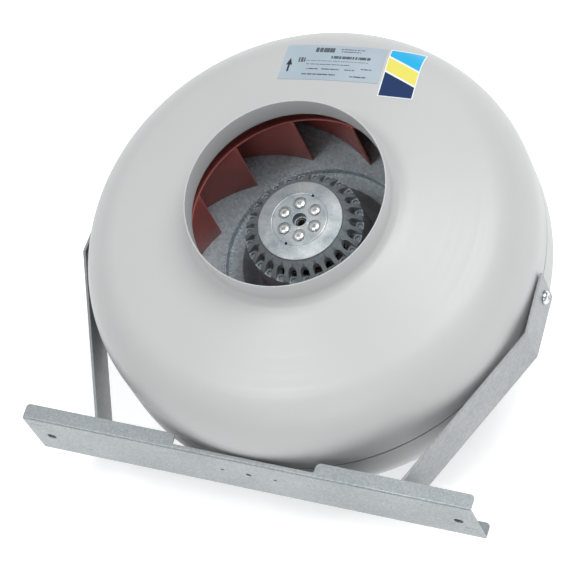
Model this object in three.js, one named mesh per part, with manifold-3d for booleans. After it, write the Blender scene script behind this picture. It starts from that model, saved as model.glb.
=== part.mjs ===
// Inline duct fan: a centrifugal fan in a round two-part steel housing, hung in a tilting bracket.
//
// Millimetres, +Z up. The fan stands on its outlet rim. The fan axis is parallel to Z, the seam of the
// housing is a level plane, and the base channel of the bracket runs along X on the -Y side.
// Inside the "fan" group the origin is on the fan axis, in the plane of the seam.
import * as THREE from "three";
import { mergeVertices } from "three/addons/utils/BufferGeometryUtils.js";
import Module from "manifold-3d";

const wasm = await Module();
wasm.setup();

const radians = THREE.MathUtils.degToRad;

// ---------------------------------------------------------------- driving dimensions

const GAP = 0.3; // between pieces that touch on the real object
const RUNNING = 0.08; // radial clearance of anything that turns on a pin or a shaft

// Housing: two shells alike, mirrored about the seam.
const HOUSING_RADIUS = 171;
const HALF_LENGTH = 103.4; // seam plane to either rim
const SHELL_WALL = 1;
const BAND_HALF = 20; // straight band on each side of the seam
const CORNER_RADIUS = 45;
const FACE_SLOPE = radians(14.4);
const COLLAR_RADIUS = 75; // outside of the spigots, for a duct of 150
const COLLAR_FILLET = 8;
const SEAM_GAP = 1.8;
const LAP_WALL = 1.3; // turned-in lip of the rear shell that enters the front shell
const LAP_LENGTH = 8;
const JOGGLE = 5;

// Impeller: backward-curved blades between a back plate and a shroud.
const IMPELLER_RADIUS = 125;
const BLADE_COUNT = 11;
const BLADE_START = radians(111.3); // direction of the first leading edge
const BLADE_INLET_RADIUS = 81;
const BLADE_OUTLET_RADIUS = 123;
const BLADE_ANGLE = radians(29); // to the tangent
const BLADE_THICKNESS = 1.6;
const EYE_RADIUS = 81.5;
const EYE_HEIGHT = 59.8; // underside of the shroud at the eye
const TIP_HEIGHT = 42; // underside of the shroud at the outlet
const PLATE = 1.5;
const STEP_RADIUS = 71.7;
const STEP_DEPTH = 6;
const HUB_CLEARANCE = 2.5; // between the rotor's side and the hole in the back plate

// External-rotor motor.
const ROTOR_RADIUS = 44.5;
const ROTOR_TOP = 60;
const ROTOR_WALL = 4.5;
const CAP_THICKNESS = 10;
const DISC_INSET = 12.8; // inwards of the rotor's side, as the next three
const SHOULDER_INSET = 1.5;
const SLOT_START = 8.9;
const SLOT_HOLE_INSET = 2.7;
const SHOULDER_DROP = 14.5;
const SLOT_COUNT = 26;
const SLOT_WIDTH = 6.4;
const FLANGE_REACH = 14.5; // outwards of the rotor's side
const PLATE_SCREW_REACH = 8.5;
const FLANGE_THICKNESS = 5.2;
const CENTRE_HOLE_RADIUS = 5.2;
const RIVET_CIRCLE = 13.1;
const RIVET_COUNT = 6;
const RIVET_START = radians(105.9);
const PIN_HOLE_CIRCLE = 20.8;
const PIN_HOLE_ANGLE = radians(79);
const SHAFT_RADIUS = 4;
const CAGE_WALL = 6.3;
const CORE_BOTTOM = 2;
const CORE_TOP = 38;
const CORE_TEETH = 12;
const AIR_GAP = 0.4;
const WINDING_HEIGHT = 7;
const TUBE_RADIUS = 10;
const TUBE_BORE = 8;
const BEARING_WIDTH = 7;
const STATOR_FLANGE_INSET = 2.5;
const STATOR_FLANGE_TOP = -12;
const STATOR_FLANGE_THICKNESS = 4;

// Motor support: a plate with three legs, riveted to the rear shell.
const SUPPORT_SHEET = 2;
const SUPPORT_RADIUS = 46;
const LEG_COUNT = 3;
const LEG_WIDTH = 28;
const LEG_BEND = 52;
const LEG_FOOT_LENGTH = 22;
const LEG_LIFT = 0.8; // foot over the cone at its middle line
const MOTOR_SCREW_CIRCLE = 34;
const LEAD_CIRCLE = 26;
const LEAD_RADIUS = 3;

// Capacitor and cable gland on the rear shell.
const CAPACITOR_RADIUS = 13;
const CAPACITOR_LENGTH = 50;
const CAPACITOR_ANGLE = radians(15);
const GLAND_ANGLE = radians(68);
const GLAND_INSET = 11.2; // middle of the gland, inwards of the outer edge of the cone
const GLAND_NECK_RADIUS = 6;
const GLAND_NECK_LENGTH = 10;

// Bracket: a channel and two bent arms.
const BASE_GAP = 6; // housing to the outer face of the web
const BASE_SHEET = 1.5;
const BASE_WIDTH = 55;
const BASE_FRONT = 17; // front edge, above the seam plane
const BASE_OVERHANG = 4.7; // end of the channel beyond the housing
const FLANGE_HEIGHT = 12;
const LIP_HEIGHT = 4;
const LIP_CLEARANCE = 3.1; // between the housing and the ends of the raised flanges
const LIP_CORNER = 4;
const END_HOLE_RADIUS = 3.6;
const END_HOLE_INSET = 14.9;
const END_HOLE_DROP = 27.5; // below the front edge
const SMALL_HOLE_RADIUS = 1.4;
const SMALL_HOLE_SPREAD = 20.9;
const SMALL_HOLE_DROP = 22.5;
const ARM_SHEET = 2;
const ARM_WIDTH = 40;
const ARM_GAP = 4.7; // housing to the middle of the sloping part
const ARM_SLOPE = radians(23.5);
const ARM_KINK = 37; // below the fan axis
const ARM_TOP = 11.3; // above the fan axis
const ARM_TOP_GAP = 2;
const FOOT_INSET = 3.7;
const PIVOT_HEIGHT = 1.2; // pivot screws, above the fan axis
const PIVOT_RADIUS = 2.5;
const PIVOT_HEAD_RADIUS = 5.2;
const PIVOT_HEAD_HEIGHT = 3.2;

// Labels stuck on the front face.
const LABEL_THICKNESS = 0.25;
const LABEL_TURN = radians(7);
const RATING_SIZE = [77, 34];
const RATING_CENTRE = [-12.5, 125.5];
const STICKER_SIZE = [26, 46];
const STICKER_CENTRE = [41.5, 126.5];

// Facets round a full turn.
const SHELL_FACETS = 48;
const IMPELLER_FACETS = 40;
const PIN_FACETS = 24;
const HOLE_FACETS = 8;
const rotorFacets = 2 * SLOT_COUNT;

// ---------------------------------------------------------------- derived sizes

const baseFace = HOUSING_RADIUS + BASE_GAP; // distance of the web's outer face from the fan axis
const flangeTip = baseFace - FLANGE_HEIGHT;
const lipTip = baseFace - LIP_HEIGHT;
const baseHalf = HOUSING_RADIUS + BASE_OVERHANG;
const baseBack = BASE_FRONT - BASE_WIDTH;
const cutHalf = Math.sqrt((HOUSING_RADIUS + LIP_CLEARANCE) ** 2 - flangeTip ** 2);
const armFront = BASE_FRONT - BASE_SHEET - GAP;
const pivotZ = armFront - ARM_WIDTH / 2;
const footY = -(baseFace - BASE_SHEET - GAP - ARM_SHEET / 2);
const plateBottom = -STEP_DEPTH - PLATE;
const flangeBottom = -STEP_DEPTH + GAP;
const flangeTop = flangeBottom + FLANGE_THICKNESS;
const cupRadius = ROTOR_RADIUS - ROTOR_WALL;
const cageRadius = cupRadius - GAP;
const coreRadius = cageRadius - CAGE_WALL - AIR_GAP;
const discRadius = ROTOR_RADIUS - DISC_INSET;
const flangeRadius = ROTOR_RADIUS + FLANGE_REACH;
const hubHoleRadius = ROTOR_RADIUS + HUB_CLEARANCE;
const plateScrewCircle = ROTOR_RADIUS + PLATE_SCREW_REACH;
const statorFlangeRadius = ROTOR_RADIUS - STATOR_FLANGE_INSET;
const cupTop = ROTOR_TOP - CAP_THICKNESS;
const statorFlangeBottom = STATOR_FLANGE_TOP - STATOR_FLANGE_THICKNESS;
const supportTop = statorFlangeBottom - GAP;
const supportBottom = supportTop - SUPPORT_SHEET;

// ---------------------------------------------------------------- solids

/** A closed three.js geometry as a manifold-3d solid that faces outwards. */
function solidOf(geometry) {
  const bare = geometry.clone();
  bare.deleteAttribute("normal");
  bare.deleteAttribute("uv");
  const merged = mergeVertices(bare, 1e-4);
  const position = merged.getAttribute("position").array;
  const corners = [];
  for (let i = 0; i < merged.index.count; i += 3) {
    const [a, b, c] = [0, 1, 2].map((k) => merged.index.getX(i + k));
    if (a !== b && b !== c && c !== a) corners.push(a, b, c);
  }
  const build = (order) =>
    new wasm.Manifold(new wasm.Mesh({
      numProp: 3,
      vertProperties: new Float32Array(position),
      triVerts: new Uint32Array(order),
    }));
  const made = build(corners);
  if (made.volume() > 0) return made;
  const turned = [];
  for (let i = 0; i < corners.length; i += 3) turned.push(corners[i], corners[i + 2], corners[i + 1]);
  return build(turned);
}

/** A manifold-3d solid as a three.js geometry. */
function geometryOf(solid) {
  const { numProp, numVert, vertProperties, triVerts } = solid.getMesh();
  const position = new Float32Array(numVert * 3);
  for (let i = 0; i < numVert; i++) {
    position.set(vertProperties.subarray(i * numProp, i * numProp + 3), i * 3);
  }
  const geometry = new THREE.BufferGeometry();
  geometry.setAttribute("position", new THREE.BufferAttribute(position, 3));
  geometry.setIndex(new THREE.BufferAttribute(new Uint32Array(triVerts), 1));
  geometry.computeVertexNormals();
  return geometry;
}

/** A solid of revolution about Z from [radius, height] points, closed on themselves. */
function turned(points, facets) {
  const closed = [...points, points[0]].map(([r, z]) => new THREE.Vector2(r, z));
  return new THREE.LatheGeometry(closed, facets).rotateX(Math.PI / 2);
}

/** A round bar along Z between two heights. */
function bar(radius, bottom, top, facets = PIN_FACETS) {
  const made = new THREE.CylinderGeometry(radius, radius, top - bottom, facets);
  return made.rotateX(Math.PI / 2).translate(0, 0, (bottom + top) / 2);
}

/** A straight prism on a flat outline of [x, y] points, from one height to another. */
function prism(points, bottom, top) {
  const shape = new THREE.Shape(points.map(([x, y]) => new THREE.Vector2(x, y)));
  const made = new THREE.ExtrudeGeometry(shape, { depth: top - bottom, bevelEnabled: false });
  return made.translate(0, 0, bottom);
}

/** The outline of a strip of sheet that follows a polyline, with mitred bends. */
function stripOutline(line, thickness) {
  const side = (sign) => line.map(([x, y], i) => {
    const before = line[Math.max(i - 1, 0)];
    const after = line[Math.min(i + 1, line.length - 1)];
    const into = new THREE.Vector2(x - before[0], y - before[1]).normalize();
    const out = new THREE.Vector2(after[0] - x, after[1] - y).normalize();
    if (i === 0) into.copy(out);
    if (i === line.length - 1) out.copy(into);
    const normal = new THREE.Vector2(-into.y - out.y, into.x + out.x).normalize();
    const reach = thickness / 2 / (normal.x * -into.y + normal.y * into.x);
    return [x + sign * reach * normal.x, y + sign * reach * normal.y];
  });
  return [...side(1), ...side(-1).reverse()];
}

/** Points of an arc, in [radius, height] or [x, y] form. */
function arc(centre, radius, from, to, steps) {
  return Array.from({ length: steps + 1 }, (_, i) => {
    const angle = from + ((to - from) * i) / steps;
    return [centre[0] + radius * Math.cos(angle), centre[1] + radius * Math.sin(angle)];
  });
}

const polar = (radius, angle) => [radius * Math.cos(angle), radius * Math.sin(angle)];
const spaced = (count, start = 0) => Array.from({ length: count }, (_, i) => start + (2 * Math.PI * i) / count);
const onCircle = (geometry, radius, angle) => geometry.translate(...polar(radius, angle), 0);

/** Cuts any number of geometries out of a geometry. */
function cut(geometry, cutters) {
  return geometryOf(cutters.reduce((left, cutter) => left.subtract(solidOf(cutter)), solidOf(geometry)));
}

/** Joins geometries that overlap into one. */
function joined(...geometries) {
  return geometryOf(geometries.map(solidOf).reduce((a, b) => a.add(b)));
}

// ---------------------------------------------------------------- materials and nodes

const finish = (color, roughness, metalness) => new THREE.MeshStandardMaterial({ color, roughness, metalness });
const powderCoat = finish(0xcfcfcb, 0.42, 0);
const blackRubber = finish(0x141414, 0.7, 0);
const silverFoil = finish(0xc3d3de, 0.35, 0.2);
const printedFilm = finish(0xb7d3ea, 0.4, 0);
const galvanised = finish(0xb9bec0, 0.42, 0.8);
const redCoat = finish(0x8a3a37, 0.5, 0);
const castAluminium = finish(0xa9aaa9, 0.45, 0.85);
const steel = finish(0x9a9d9f, 0.35, 0.9);
const zinc = finish(0xc6c8c8, 0.3, 0.9);
const copper = finish(0xb06a3b, 0.45, 0.8);
const greyPlastic = finish(0x8c9094, 0.55, 0);
const blackPlastic = finish(0x1b1b1c, 0.5, 0);

const fan = new THREE.Group();

/** Adds one named sub-part to the fan. */
function node(name, geometry, material, parent = fan) {
  const mesh = new THREE.Mesh(geometry, material);
  mesh.name = name;
  parent.add(mesh);
  return mesh;
}

// ---------------------------------------------------------------- housing

const cornerCentre = [HOUSING_RADIUS - CORNER_RADIUS, BAND_HALF];
const slopeStart = arc(cornerCentre, CORNER_RADIUS, Math.PI / 2 - FACE_SLOPE, 0, 1)[0];

/** Height of the flat cone of the front shell's outer face over a radius. */
const coneHeight = (radius) => slopeStart[1] + (slopeStart[0] - radius) * Math.tan(FACE_SLOPE);

const filletCentre = [
  COLLAR_RADIUS + COLLAR_FILLET,
  coneHeight(COLLAR_RADIUS + COLLAR_FILLET) + COLLAR_FILLET / Math.cos(FACE_SLOPE),
];

/** The line of the shell from the top of its band to the collar, at a depth under its outer face. */
function shellCurve(depth) {
  return [
    ...arc(cornerCentre, CORNER_RADIUS - depth, 0, Math.PI / 2 - FACE_SLOPE, 4),
    ...arc(filletCentre, COLLAR_FILLET + depth, 1.5 * Math.PI - FACE_SLOPE, Math.PI, 2),
  ];
}

/** The closed section of a shell above the seam. */
function shellSection(edge) {
  return [
    ...edge,
    ...shellCurve(0),
    [COLLAR_RADIUS, HALF_LENGTH],
    [COLLAR_RADIUS - SHELL_WALL, HALF_LENGTH],
    ...shellCurve(SHELL_WALL).reverse(),
  ];
}

const inside = HOUSING_RADIUS - SHELL_WALL;
const lapOutside = inside - GAP;
const lapInside = lapOutside - LAP_WALL;
const plainEdge = [[inside, SEAM_GAP / 2], [HOUSING_RADIUS, SEAM_GAP / 2]];
const lappedEdge = [
  [inside, SEAM_GAP / 2 + JOGGLE + LAP_WALL],
  [lapInside, SEAM_GAP / 2 + JOGGLE],
  [lapInside, -LAP_LENGTH],
  [lapOutside, -LAP_LENGTH],
  [lapOutside, SEAM_GAP / 2],
  [HOUSING_RADIUS, SEAM_GAP / 2],
];

/** Places a piece made about Z on the rear cone, its Z pointing out of the face. */
function onRearCone(geometry, radius, angle) {
  const [x, y] = polar(1, angle);
  const out = new THREE.Vector3(x * Math.sin(FACE_SLOPE), y * Math.sin(FACE_SLOPE), -Math.cos(FACE_SLOPE));
  const along = new THREE.Vector3(-y, x, 0);
  const place = new THREE.Matrix4().makeBasis(along, new THREE.Vector3().crossVectors(out, along), out);
  place.setPosition(...polar(radius, angle), -coneHeight(radius));
  return geometry.applyMatrix4(place);
}

/** A bar along X at the height of the pivot screws, on the +X or the -X side. */
function pivotBar(radius, from, to, side) {
  const made = new THREE.CylinderGeometry(radius, radius, to - from, PIN_FACETS).rotateZ(-Math.PI / 2);
  made.rotateX(Math.PI / PIN_FACETS).translate((from + to) / 2, 0, 0);
  if (side < 0) made.rotateY(Math.PI);
  return made.translate(0, PIVOT_HEIGHT, pivotZ);
}

const legAngles = spaced(LEG_COUNT, Math.PI / 2);
const legRivetCircle = (slopeStart[0] + COLLAR_RADIUS + COLLAR_FILLET) / 2; // middle of the cone
const legFoot = legRivetCircle - LEG_FOOT_LENGTH / 2;
const legEnd = legRivetCircle + LEG_FOOT_LENGTH / 2;
const glandCircle = slopeStart[0] - GLAND_INSET;
const clipRivetCircle = glandCircle - 2;
const SHANK_RADIUS = 2.1;
const shankHole = (reach) => bar(SHANK_RADIUS + GAP, -reach, reach, HOLE_FACETS);
const pivotHoles = [1, -1].map((side) => pivotBar(PIVOT_RADIUS + GAP, lapInside - 4, HOUSING_RADIUS + 2, side));

node("front_shell", cut(turned(shellSection(plainEdge), SHELL_FACETS), pivotHoles), powderCoat);
node("rear_shell", cut(turned(shellSection(lappedEdge), SHELL_FACETS).rotateX(Math.PI), [
  ...pivotHoles,
  ...legAngles.map((angle) => onRearCone(shankHole(4), legRivetCircle, angle)),
  onRearCone(shankHole(4), clipRivetCircle, CAPACITOR_ANGLE),
  onRearCone(bar(GLAND_NECK_RADIUS + GAP, -4, 4), glandCircle, GLAND_ANGLE),
]), powderCoat);

const sealHalf = SEAM_GAP / 2 - GAP;
node("seam_seal", turned([
  [lapOutside + GAP, -sealHalf],
  [HOUSING_RADIUS - 0.4, -sealHalf],
  [HOUSING_RADIUS - 0.4, sealHalf],
  [lapOutside + GAP, sealHalf],
], SHELL_FACETS), blackRubber);

/** A label: the part of a thin layer over the front face inside an upright rectangular prism. */
function label([width, height], [x, y]) {
  const layer = turned([
    ...shellCurve(-GAP - LABEL_THICKNESS).slice(0, -2),
    ...shellCurve(-GAP).slice(0, -2).reverse(),
  ], SHELL_FACETS);
  const outline = new THREE.BoxGeometry(width, height, HALF_LENGTH).rotateZ(LABEL_TURN);
  return geometryOf(solidOf(layer).intersect(solidOf(outline.translate(x, y, HALF_LENGTH / 2))));
}
node("rating_label", label(RATING_SIZE, RATING_CENTRE), silverFoil);
node("colour_sticker", label(STICKER_SIZE, STICKER_CENTRE), printedFilm);

// ---------------------------------------------------------------- impeller

const plateHoles = spaced(4, Math.PI / 4);

node("impeller_backplate", cut(turned([
  [hubHoleRadius, plateBottom],
  [STEP_RADIUS + PLATE, plateBottom],
  [STEP_RADIUS + PLATE, -PLATE],
  [IMPELLER_RADIUS, -PLATE],
  [IMPELLER_RADIUS, 0],
  [STEP_RADIUS, 0],
  [STEP_RADIUS, -STEP_DEPTH],
  [hubHoleRadius, -STEP_DEPTH],
], IMPELLER_FACETS), plateHoles.map((angle) =>
  onCircle(bar(SHANK_RADIUS + GAP, plateBottom - 1, -STEP_DEPTH + 1, HOLE_FACETS), plateScrewCircle, angle))),
galvanised);

/** Height of the shroud's underside over a radius: steep at the eye, level at the outlet. */
function shroudHeight(radius) {
  const share = (IMPELLER_RADIUS - radius) / (IMPELLER_RADIUS - EYE_RADIUS);
  return TIP_HEIGHT + (EYE_HEIGHT - TIP_HEIGHT) * share ** 1.5;
}
const shroudRadii = [0, 0.3, 0.6, 1].map((t) => EYE_RADIUS + t * (IMPELLER_RADIUS - EYE_RADIUS));
node("impeller_shroud", turned([
  ...shroudRadii.map((r) => [r, shroudHeight(r)]),
  ...shroudRadii.map((r) => [r, shroudHeight(r) + PLATE]).reverse(),
], IMPELLER_FACETS), redCoat);

/** One blade: a strip along a log spiral, trimmed to the space between back plate and shroud. */
function bladeGeometry() {
  const growth = Math.tan(BLADE_ANGLE);
  const sweep = Math.log(BLADE_OUTLET_RADIUS / BLADE_INLET_RADIUS) / growth;
  const steps = 7;
  const line = Array.from({ length: steps + 1 }, (_, i) => {
    const angle = (sweep * i) / steps;
    return polar(BLADE_INLET_RADIUS * Math.exp(growth * angle), angle);
  });
  const strip = prism(stripOutline(line, BLADE_THICKNESS), 0, EYE_HEIGHT + PLATE);
  const innermost = BLADE_INLET_RADIUS - 2 * BLADE_THICKNESS;
  const room = turned([
    [innermost, GAP],
    [IMPELLER_RADIUS, GAP],
    ...shroudRadii.map((r) => [r, shroudHeight(r) - GAP]).reverse(),
    [innermost, EYE_HEIGHT - GAP],
  ], IMPELLER_FACETS * 2);
  return geometryOf(solidOf(strip).intersect(solidOf(room)));
}
const blade = bladeGeometry();
spaced(BLADE_COUNT, BLADE_START).forEach((angle, i) => {
  node(`blade_${i + 1}`, blade, redCoat).rotation.z = angle;
});

// ---------------------------------------------------------------- motor, turning pieces

const slotInner = ROTOR_RADIUS - SLOT_START;
const ledge = ROTOR_TOP - SHOULDER_DROP - 1.2;

/** A cooling slot along X: round at its inner end, open at the rotor's side, down to a ledge. */
function slotCutter() {
  const half = SLOT_WIDTH / 2;
  return prism([
    [ROTOR_RADIUS + 1, -half],
    [ROTOR_RADIUS + 1, half],
    ...arc([slotInner + half, 0], half, Math.PI / 2, 1.5 * Math.PI, 2),
  ], ledge, ROTOR_TOP + 1);
}

/** The blind hole for a balancing weight in the ledge of a slot. */
const balanceHole = (angle) =>
  onCircle(bar(2.2, ledge - 1.6, ledge + 1, 10), ROTOR_RADIUS - SLOT_HOLE_INSET, angle);

const rotorBody = turned([
  [CENTRE_HOLE_RADIUS, ROTOR_TOP],
  [PIN_HOLE_CIRCLE - 2, ROTOR_TOP],
  [discRadius, ROTOR_TOP - 1.8],
  [discRadius + 0.5, ROTOR_TOP - 3],
  [ROTOR_RADIUS - SHOULDER_INSET, ROTOR_TOP - SHOULDER_DROP + 1.5],
  [ROTOR_RADIUS, ROTOR_TOP - SHOULDER_DROP],
  [ROTOR_RADIUS, flangeTop],
  [flangeRadius, flangeTop],
  [flangeRadius, flangeBottom],
  [cupRadius, flangeBottom],
  [cupRadius, ledge - 2.5],
  [slotInner - 1, cupTop],
  [SHAFT_RADIUS + GAP, cupTop],
  [SHAFT_RADIUS + GAP, cupTop + 4],
  [CENTRE_HOLE_RADIUS, cupTop + 4],
], rotorFacets);
const rivetAngles = spaced(RIVET_COUNT, RIVET_START);
node("rotor", cut(rotorBody, [
  ...spaced(SLOT_COUNT).map((angle) => slotCutter().rotateZ(angle)),
  ...spaced(SLOT_COUNT).map(balanceHole),
  ...rivetAngles.map((angle) =>
    onCircle(bar(SHANK_RADIUS + GAP, cupTop - 1, ROTOR_TOP + 1, HOLE_FACETS), RIVET_CIRCLE, angle)),
  ...spaced(2, PIN_HOLE_ANGLE).map((angle) =>
    onCircle(bar(1.1, cupTop - 1, ROTOR_TOP + 1, 8), PIN_HOLE_CIRCLE, angle)),
  ...plateHoles.map((angle) =>
    onCircle(bar(SHANK_RADIUS + GAP, flangeBottom - 1, flangeTop - 1.2, HOLE_FACETS), plateScrewCircle, angle)),
]), castAluminium);

const hubTop = cupTop - GAP;
const hubBottom = hubTop - 3.4;
node("shaft_hub", cut(bar(20, hubBottom, hubTop), [
  bar(SHAFT_RADIUS + GAP, hubBottom - 1, hubTop + 1),
  ...rivetAngles.map((angle) =>
    onCircle(bar(SHANK_RADIUS + GAP, hubBottom - 1, hubTop + 1, HOLE_FACETS), RIVET_CIRCLE, angle)),
]), steel);

rivetAngles.forEach((angle, i) => {
  const rivet = turned([
    [0, ROTOR_TOP + 2],
    [3.6, ROTOR_TOP + 1.7],
    [4.5, ROTOR_TOP + GAP],
    [SHANK_RADIUS, ROTOR_TOP + GAP],
    [SHANK_RADIUS, hubBottom - GAP],
    [3.2, hubBottom - GAP],
    [2.4, hubBottom - 1.5],
    [0, hubBottom - 1.5],
  ], HOLE_FACETS);
  node(`rotor_rivet_${i + 1}`, geometryOf(solidOf(onCircle(rivet, RIVET_CIRCLE, angle))), castAluminium);
});

node("shaft", bar(SHAFT_RADIUS, statorFlangeBottom + 1.5, cupTop + 3.7), steel);
node("rotor_cage", turned([
  [coreRadius + AIR_GAP, CORE_BOTTOM],
  [cageRadius, CORE_BOTTOM],
  [cageRadius, CORE_TOP],
  [coreRadius + AIR_GAP, CORE_TOP],
], IMPELLER_FACETS), steel);

/** A pan-head screw about Z: its head lies below a height, and its shank ends at another. */
function screw(headRadius, headHeight, shankRadius, underHead, end) {
  return turned([
    [0, underHead - headHeight],
    [headRadius * 0.8, underHead - headHeight],
    [headRadius, underHead - headHeight * 0.5],
    [headRadius, underHead],
    [shankRadius, underHead],
    [shankRadius, end],
    [0, end],
  ], HOLE_FACETS);
}
plateHoles.forEach((angle, i) => {
  const made = screw(3.8, 2, SHANK_RADIUS, plateBottom - GAP, flangeTop - 1.5);
  node(`impeller_screw_${i + 1}`, geometryOf(solidOf(onCircle(made, plateScrewCircle, angle))), zinc);
});

// ---------------------------------------------------------------- motor, fixed pieces

const screwAngles = spaced(LEG_COUNT, Math.PI / 6);
const leadAngles = [radians(60), radians(5)];
const leadHole = () => bar(LEAD_RADIUS + 2 * GAP, supportBottom - 1, STATOR_FLANGE_TOP + 1, HOLE_FACETS);
const leadHoles = () => leadAngles.map((angle) => onCircle(leadHole(), LEAD_CIRCLE, angle));
const motorScrewEnd = STATOR_FLANGE_TOP - 1;

node("stator_flange", cut(turned([
  [TUBE_BORE, statorFlangeBottom],
  [statorFlangeRadius, statorFlangeBottom],
  [statorFlangeRadius, STATOR_FLANGE_TOP],
  [TUBE_RADIUS, STATOR_FLANGE_TOP],
  [TUBE_RADIUS, CORE_TOP - 1],
  [TUBE_BORE, CORE_TOP - 1],
], IMPELLER_FACETS), [
  ...screwAngles.map((angle) =>
    onCircle(bar(SHANK_RADIUS + GAP, statorFlangeBottom - 1, motorScrewEnd + GAP, HOLE_FACETS),
      MOTOR_SCREW_CIRCLE, angle)),
  ...leadHoles(),
]), castAluminium);

/** A ball bearing, drawn as one ring, with its lower face at a height. */
const bearing = (bottom) => turned([
  [SHAFT_RADIUS + RUNNING, bottom],
  [TUBE_BORE - GAP, bottom],
  [TUBE_BORE - GAP, bottom + BEARING_WIDTH],
  [SHAFT_RADIUS + RUNNING, bottom + BEARING_WIDTH],
], PIN_FACETS);
node("bearing_front", bearing(CORE_TOP - 2 - BEARING_WIDTH), steel);
node("bearing_rear", bearing(statorFlangeBottom + 2.5), steel);

/** The laminated core: a ring with open slots between its teeth. */
function coreOutline() {
  const share = Math.PI / CORE_TEETH;
  return spaced(CORE_TEETH).flatMap((angle) => [
    polar(coreRadius, angle - 0.7 * share),
    polar(coreRadius, angle),
    polar(coreRadius, angle + 0.7 * share),
    polar(coreRadius - 3, angle + 0.75 * share),
    polar(coreRadius - 12, angle + 0.6 * share),
    polar(coreRadius - 12, angle + 1.4 * share),
    polar(coreRadius - 3, angle + 1.25 * share),
  ]);
}
node("stator_core", cut(prism(coreOutline(), CORE_BOTTOM, CORE_TOP), [
  bar(TUBE_RADIUS + GAP, CORE_BOTTOM - 1, CORE_TOP + 1),
]), steel);

/** End turns of the winding, as one rounded ring above a height. */
const winding = (bottom) => turned([
  [17, bottom],
  [coreRadius - 2, bottom],
  [coreRadius - 2, bottom + WINDING_HEIGHT * 0.7],
  [coreRadius - 5, bottom + WINDING_HEIGHT],
  [20, bottom + WINDING_HEIGHT],
  [17, bottom + WINDING_HEIGHT * 0.7],
], PIN_FACETS);
node("winding_front", winding(CORE_TOP + GAP), copper);
node("winding_rear", winding(0).rotateX(Math.PI).translate(0, 0, CORE_BOTTOM - GAP), copper);

// ---------------------------------------------------------------- motor support

/** Height of the rear shell's inner face over a radius, on its cone. */
const rearInner = (radius) => SHELL_WALL / Math.cos(FACE_SLOPE) - coneHeight(radius);

/** A strip of sheet drawn in a [radius, height] plane, made this wide, and turned to a direction. */
function radialStrip(outline, width, angle) {
  return prism(outline, -width / 2, width / 2).rotateX(Math.PI / 2).rotateZ(angle);
}

const legLift = (LEG_LIFT + SUPPORT_SHEET / 2) / Math.cos(FACE_SLOPE);
const legLine = [
  [SUPPORT_RADIUS / 2, (supportTop + supportBottom) / 2],
  [LEG_BEND, (supportTop + supportBottom) / 2],
  [legFoot, rearInner(legFoot) + legLift],
  [legEnd, rearInner(legEnd) + legLift],
];
const supportBlank = joined(
  bar(SUPPORT_RADIUS, supportBottom, supportTop, IMPELLER_FACETS),
  ...legAngles.map((angle) => radialStrip(stripOutline(legLine, SUPPORT_SHEET), LEG_WIDTH, angle)),
);
node("motor_support", cut(supportBlank, [
  bar(12, supportBottom - 1, supportTop + 1),
  ...screwAngles.map((angle) =>
    onCircle(bar(SHANK_RADIUS + GAP, supportBottom - 1, supportTop + 1, HOLE_FACETS), MOTOR_SCREW_CIRCLE, angle)),
  ...leadHoles(),
  ...legAngles.map((angle) => onRearCone(shankHole(8), legRivetCircle, angle)),
]), galvanised);

screwAngles.forEach((angle, i) => {
  const made = screw(4, 2.6, SHANK_RADIUS, supportBottom - GAP, motorScrewEnd);
  node(`motor_screw_${i + 1}`, geometryOf(solidOf(onCircle(made, MOTOR_SCREW_CIRCLE, angle))), zinc);
});

/** A rivet through the rear shell and a sheet that lies at a depth under its outer face. */
function shellRivet(innerFace) {
  return turned([
    [0, 1.5],
    [2.4, 1.5],
    [4, GAP],
    [SHANK_RADIUS, GAP],
    [SHANK_RADIUS, innerFace - GAP],
    [3.4, innerFace - GAP],
    [2.6, innerFace - 1.5],
    [0, innerFace - 1.5],
  ], HOLE_FACETS);
}
legAngles.forEach((angle, i) => {
  const rivet = shellRivet(-SHELL_WALL - LEG_LIFT - SUPPORT_SHEET);
  node(`support_rivet_${i + 1}`, geometryOf(solidOf(onRearCone(rivet, legRivetCircle, angle))), steel);
});

// ---------------------------------------------------------------- capacitor, gland and leads

const CLIP_SHEET = 1;
const CLIP_WIDTH = 12;
const CAPACITOR_INSET = 27.5; // from the housing's outside to the capacitor's middle
const CAPACITOR_DROP = 20.5; // below the bottom of the band
const capacitorRadius = HOUSING_RADIUS - CAPACITOR_INSET;
const capacitorHeight = -BAND_HALF - CAPACITOR_DROP;
const capacitorEnd = CAPACITOR_LENGTH / 2 + 4; // tip of the boss that its lead enters

/** Turns a piece made about Z so that it lies along the housing's wall in the capacitor's place. */
function besideWall(geometry) {
  return geometry.rotateX(-Math.PI / 2).translate(capacitorRadius, 0, capacitorHeight).rotateZ(CAPACITOR_ANGLE);
}

node("run_capacitor", geometryOf(solidOf(besideWall(turned([
  [0, -CAPACITOR_LENGTH / 2],
  [CAPACITOR_RADIUS, -CAPACITOR_LENGTH / 2],
  [CAPACITOR_RADIUS, CAPACITOR_LENGTH / 2],
  [4, CAPACITOR_LENGTH / 2],
  [4, capacitorEnd],
  [0, capacitorEnd],
], PIN_FACETS)))), greyPlastic);

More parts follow.
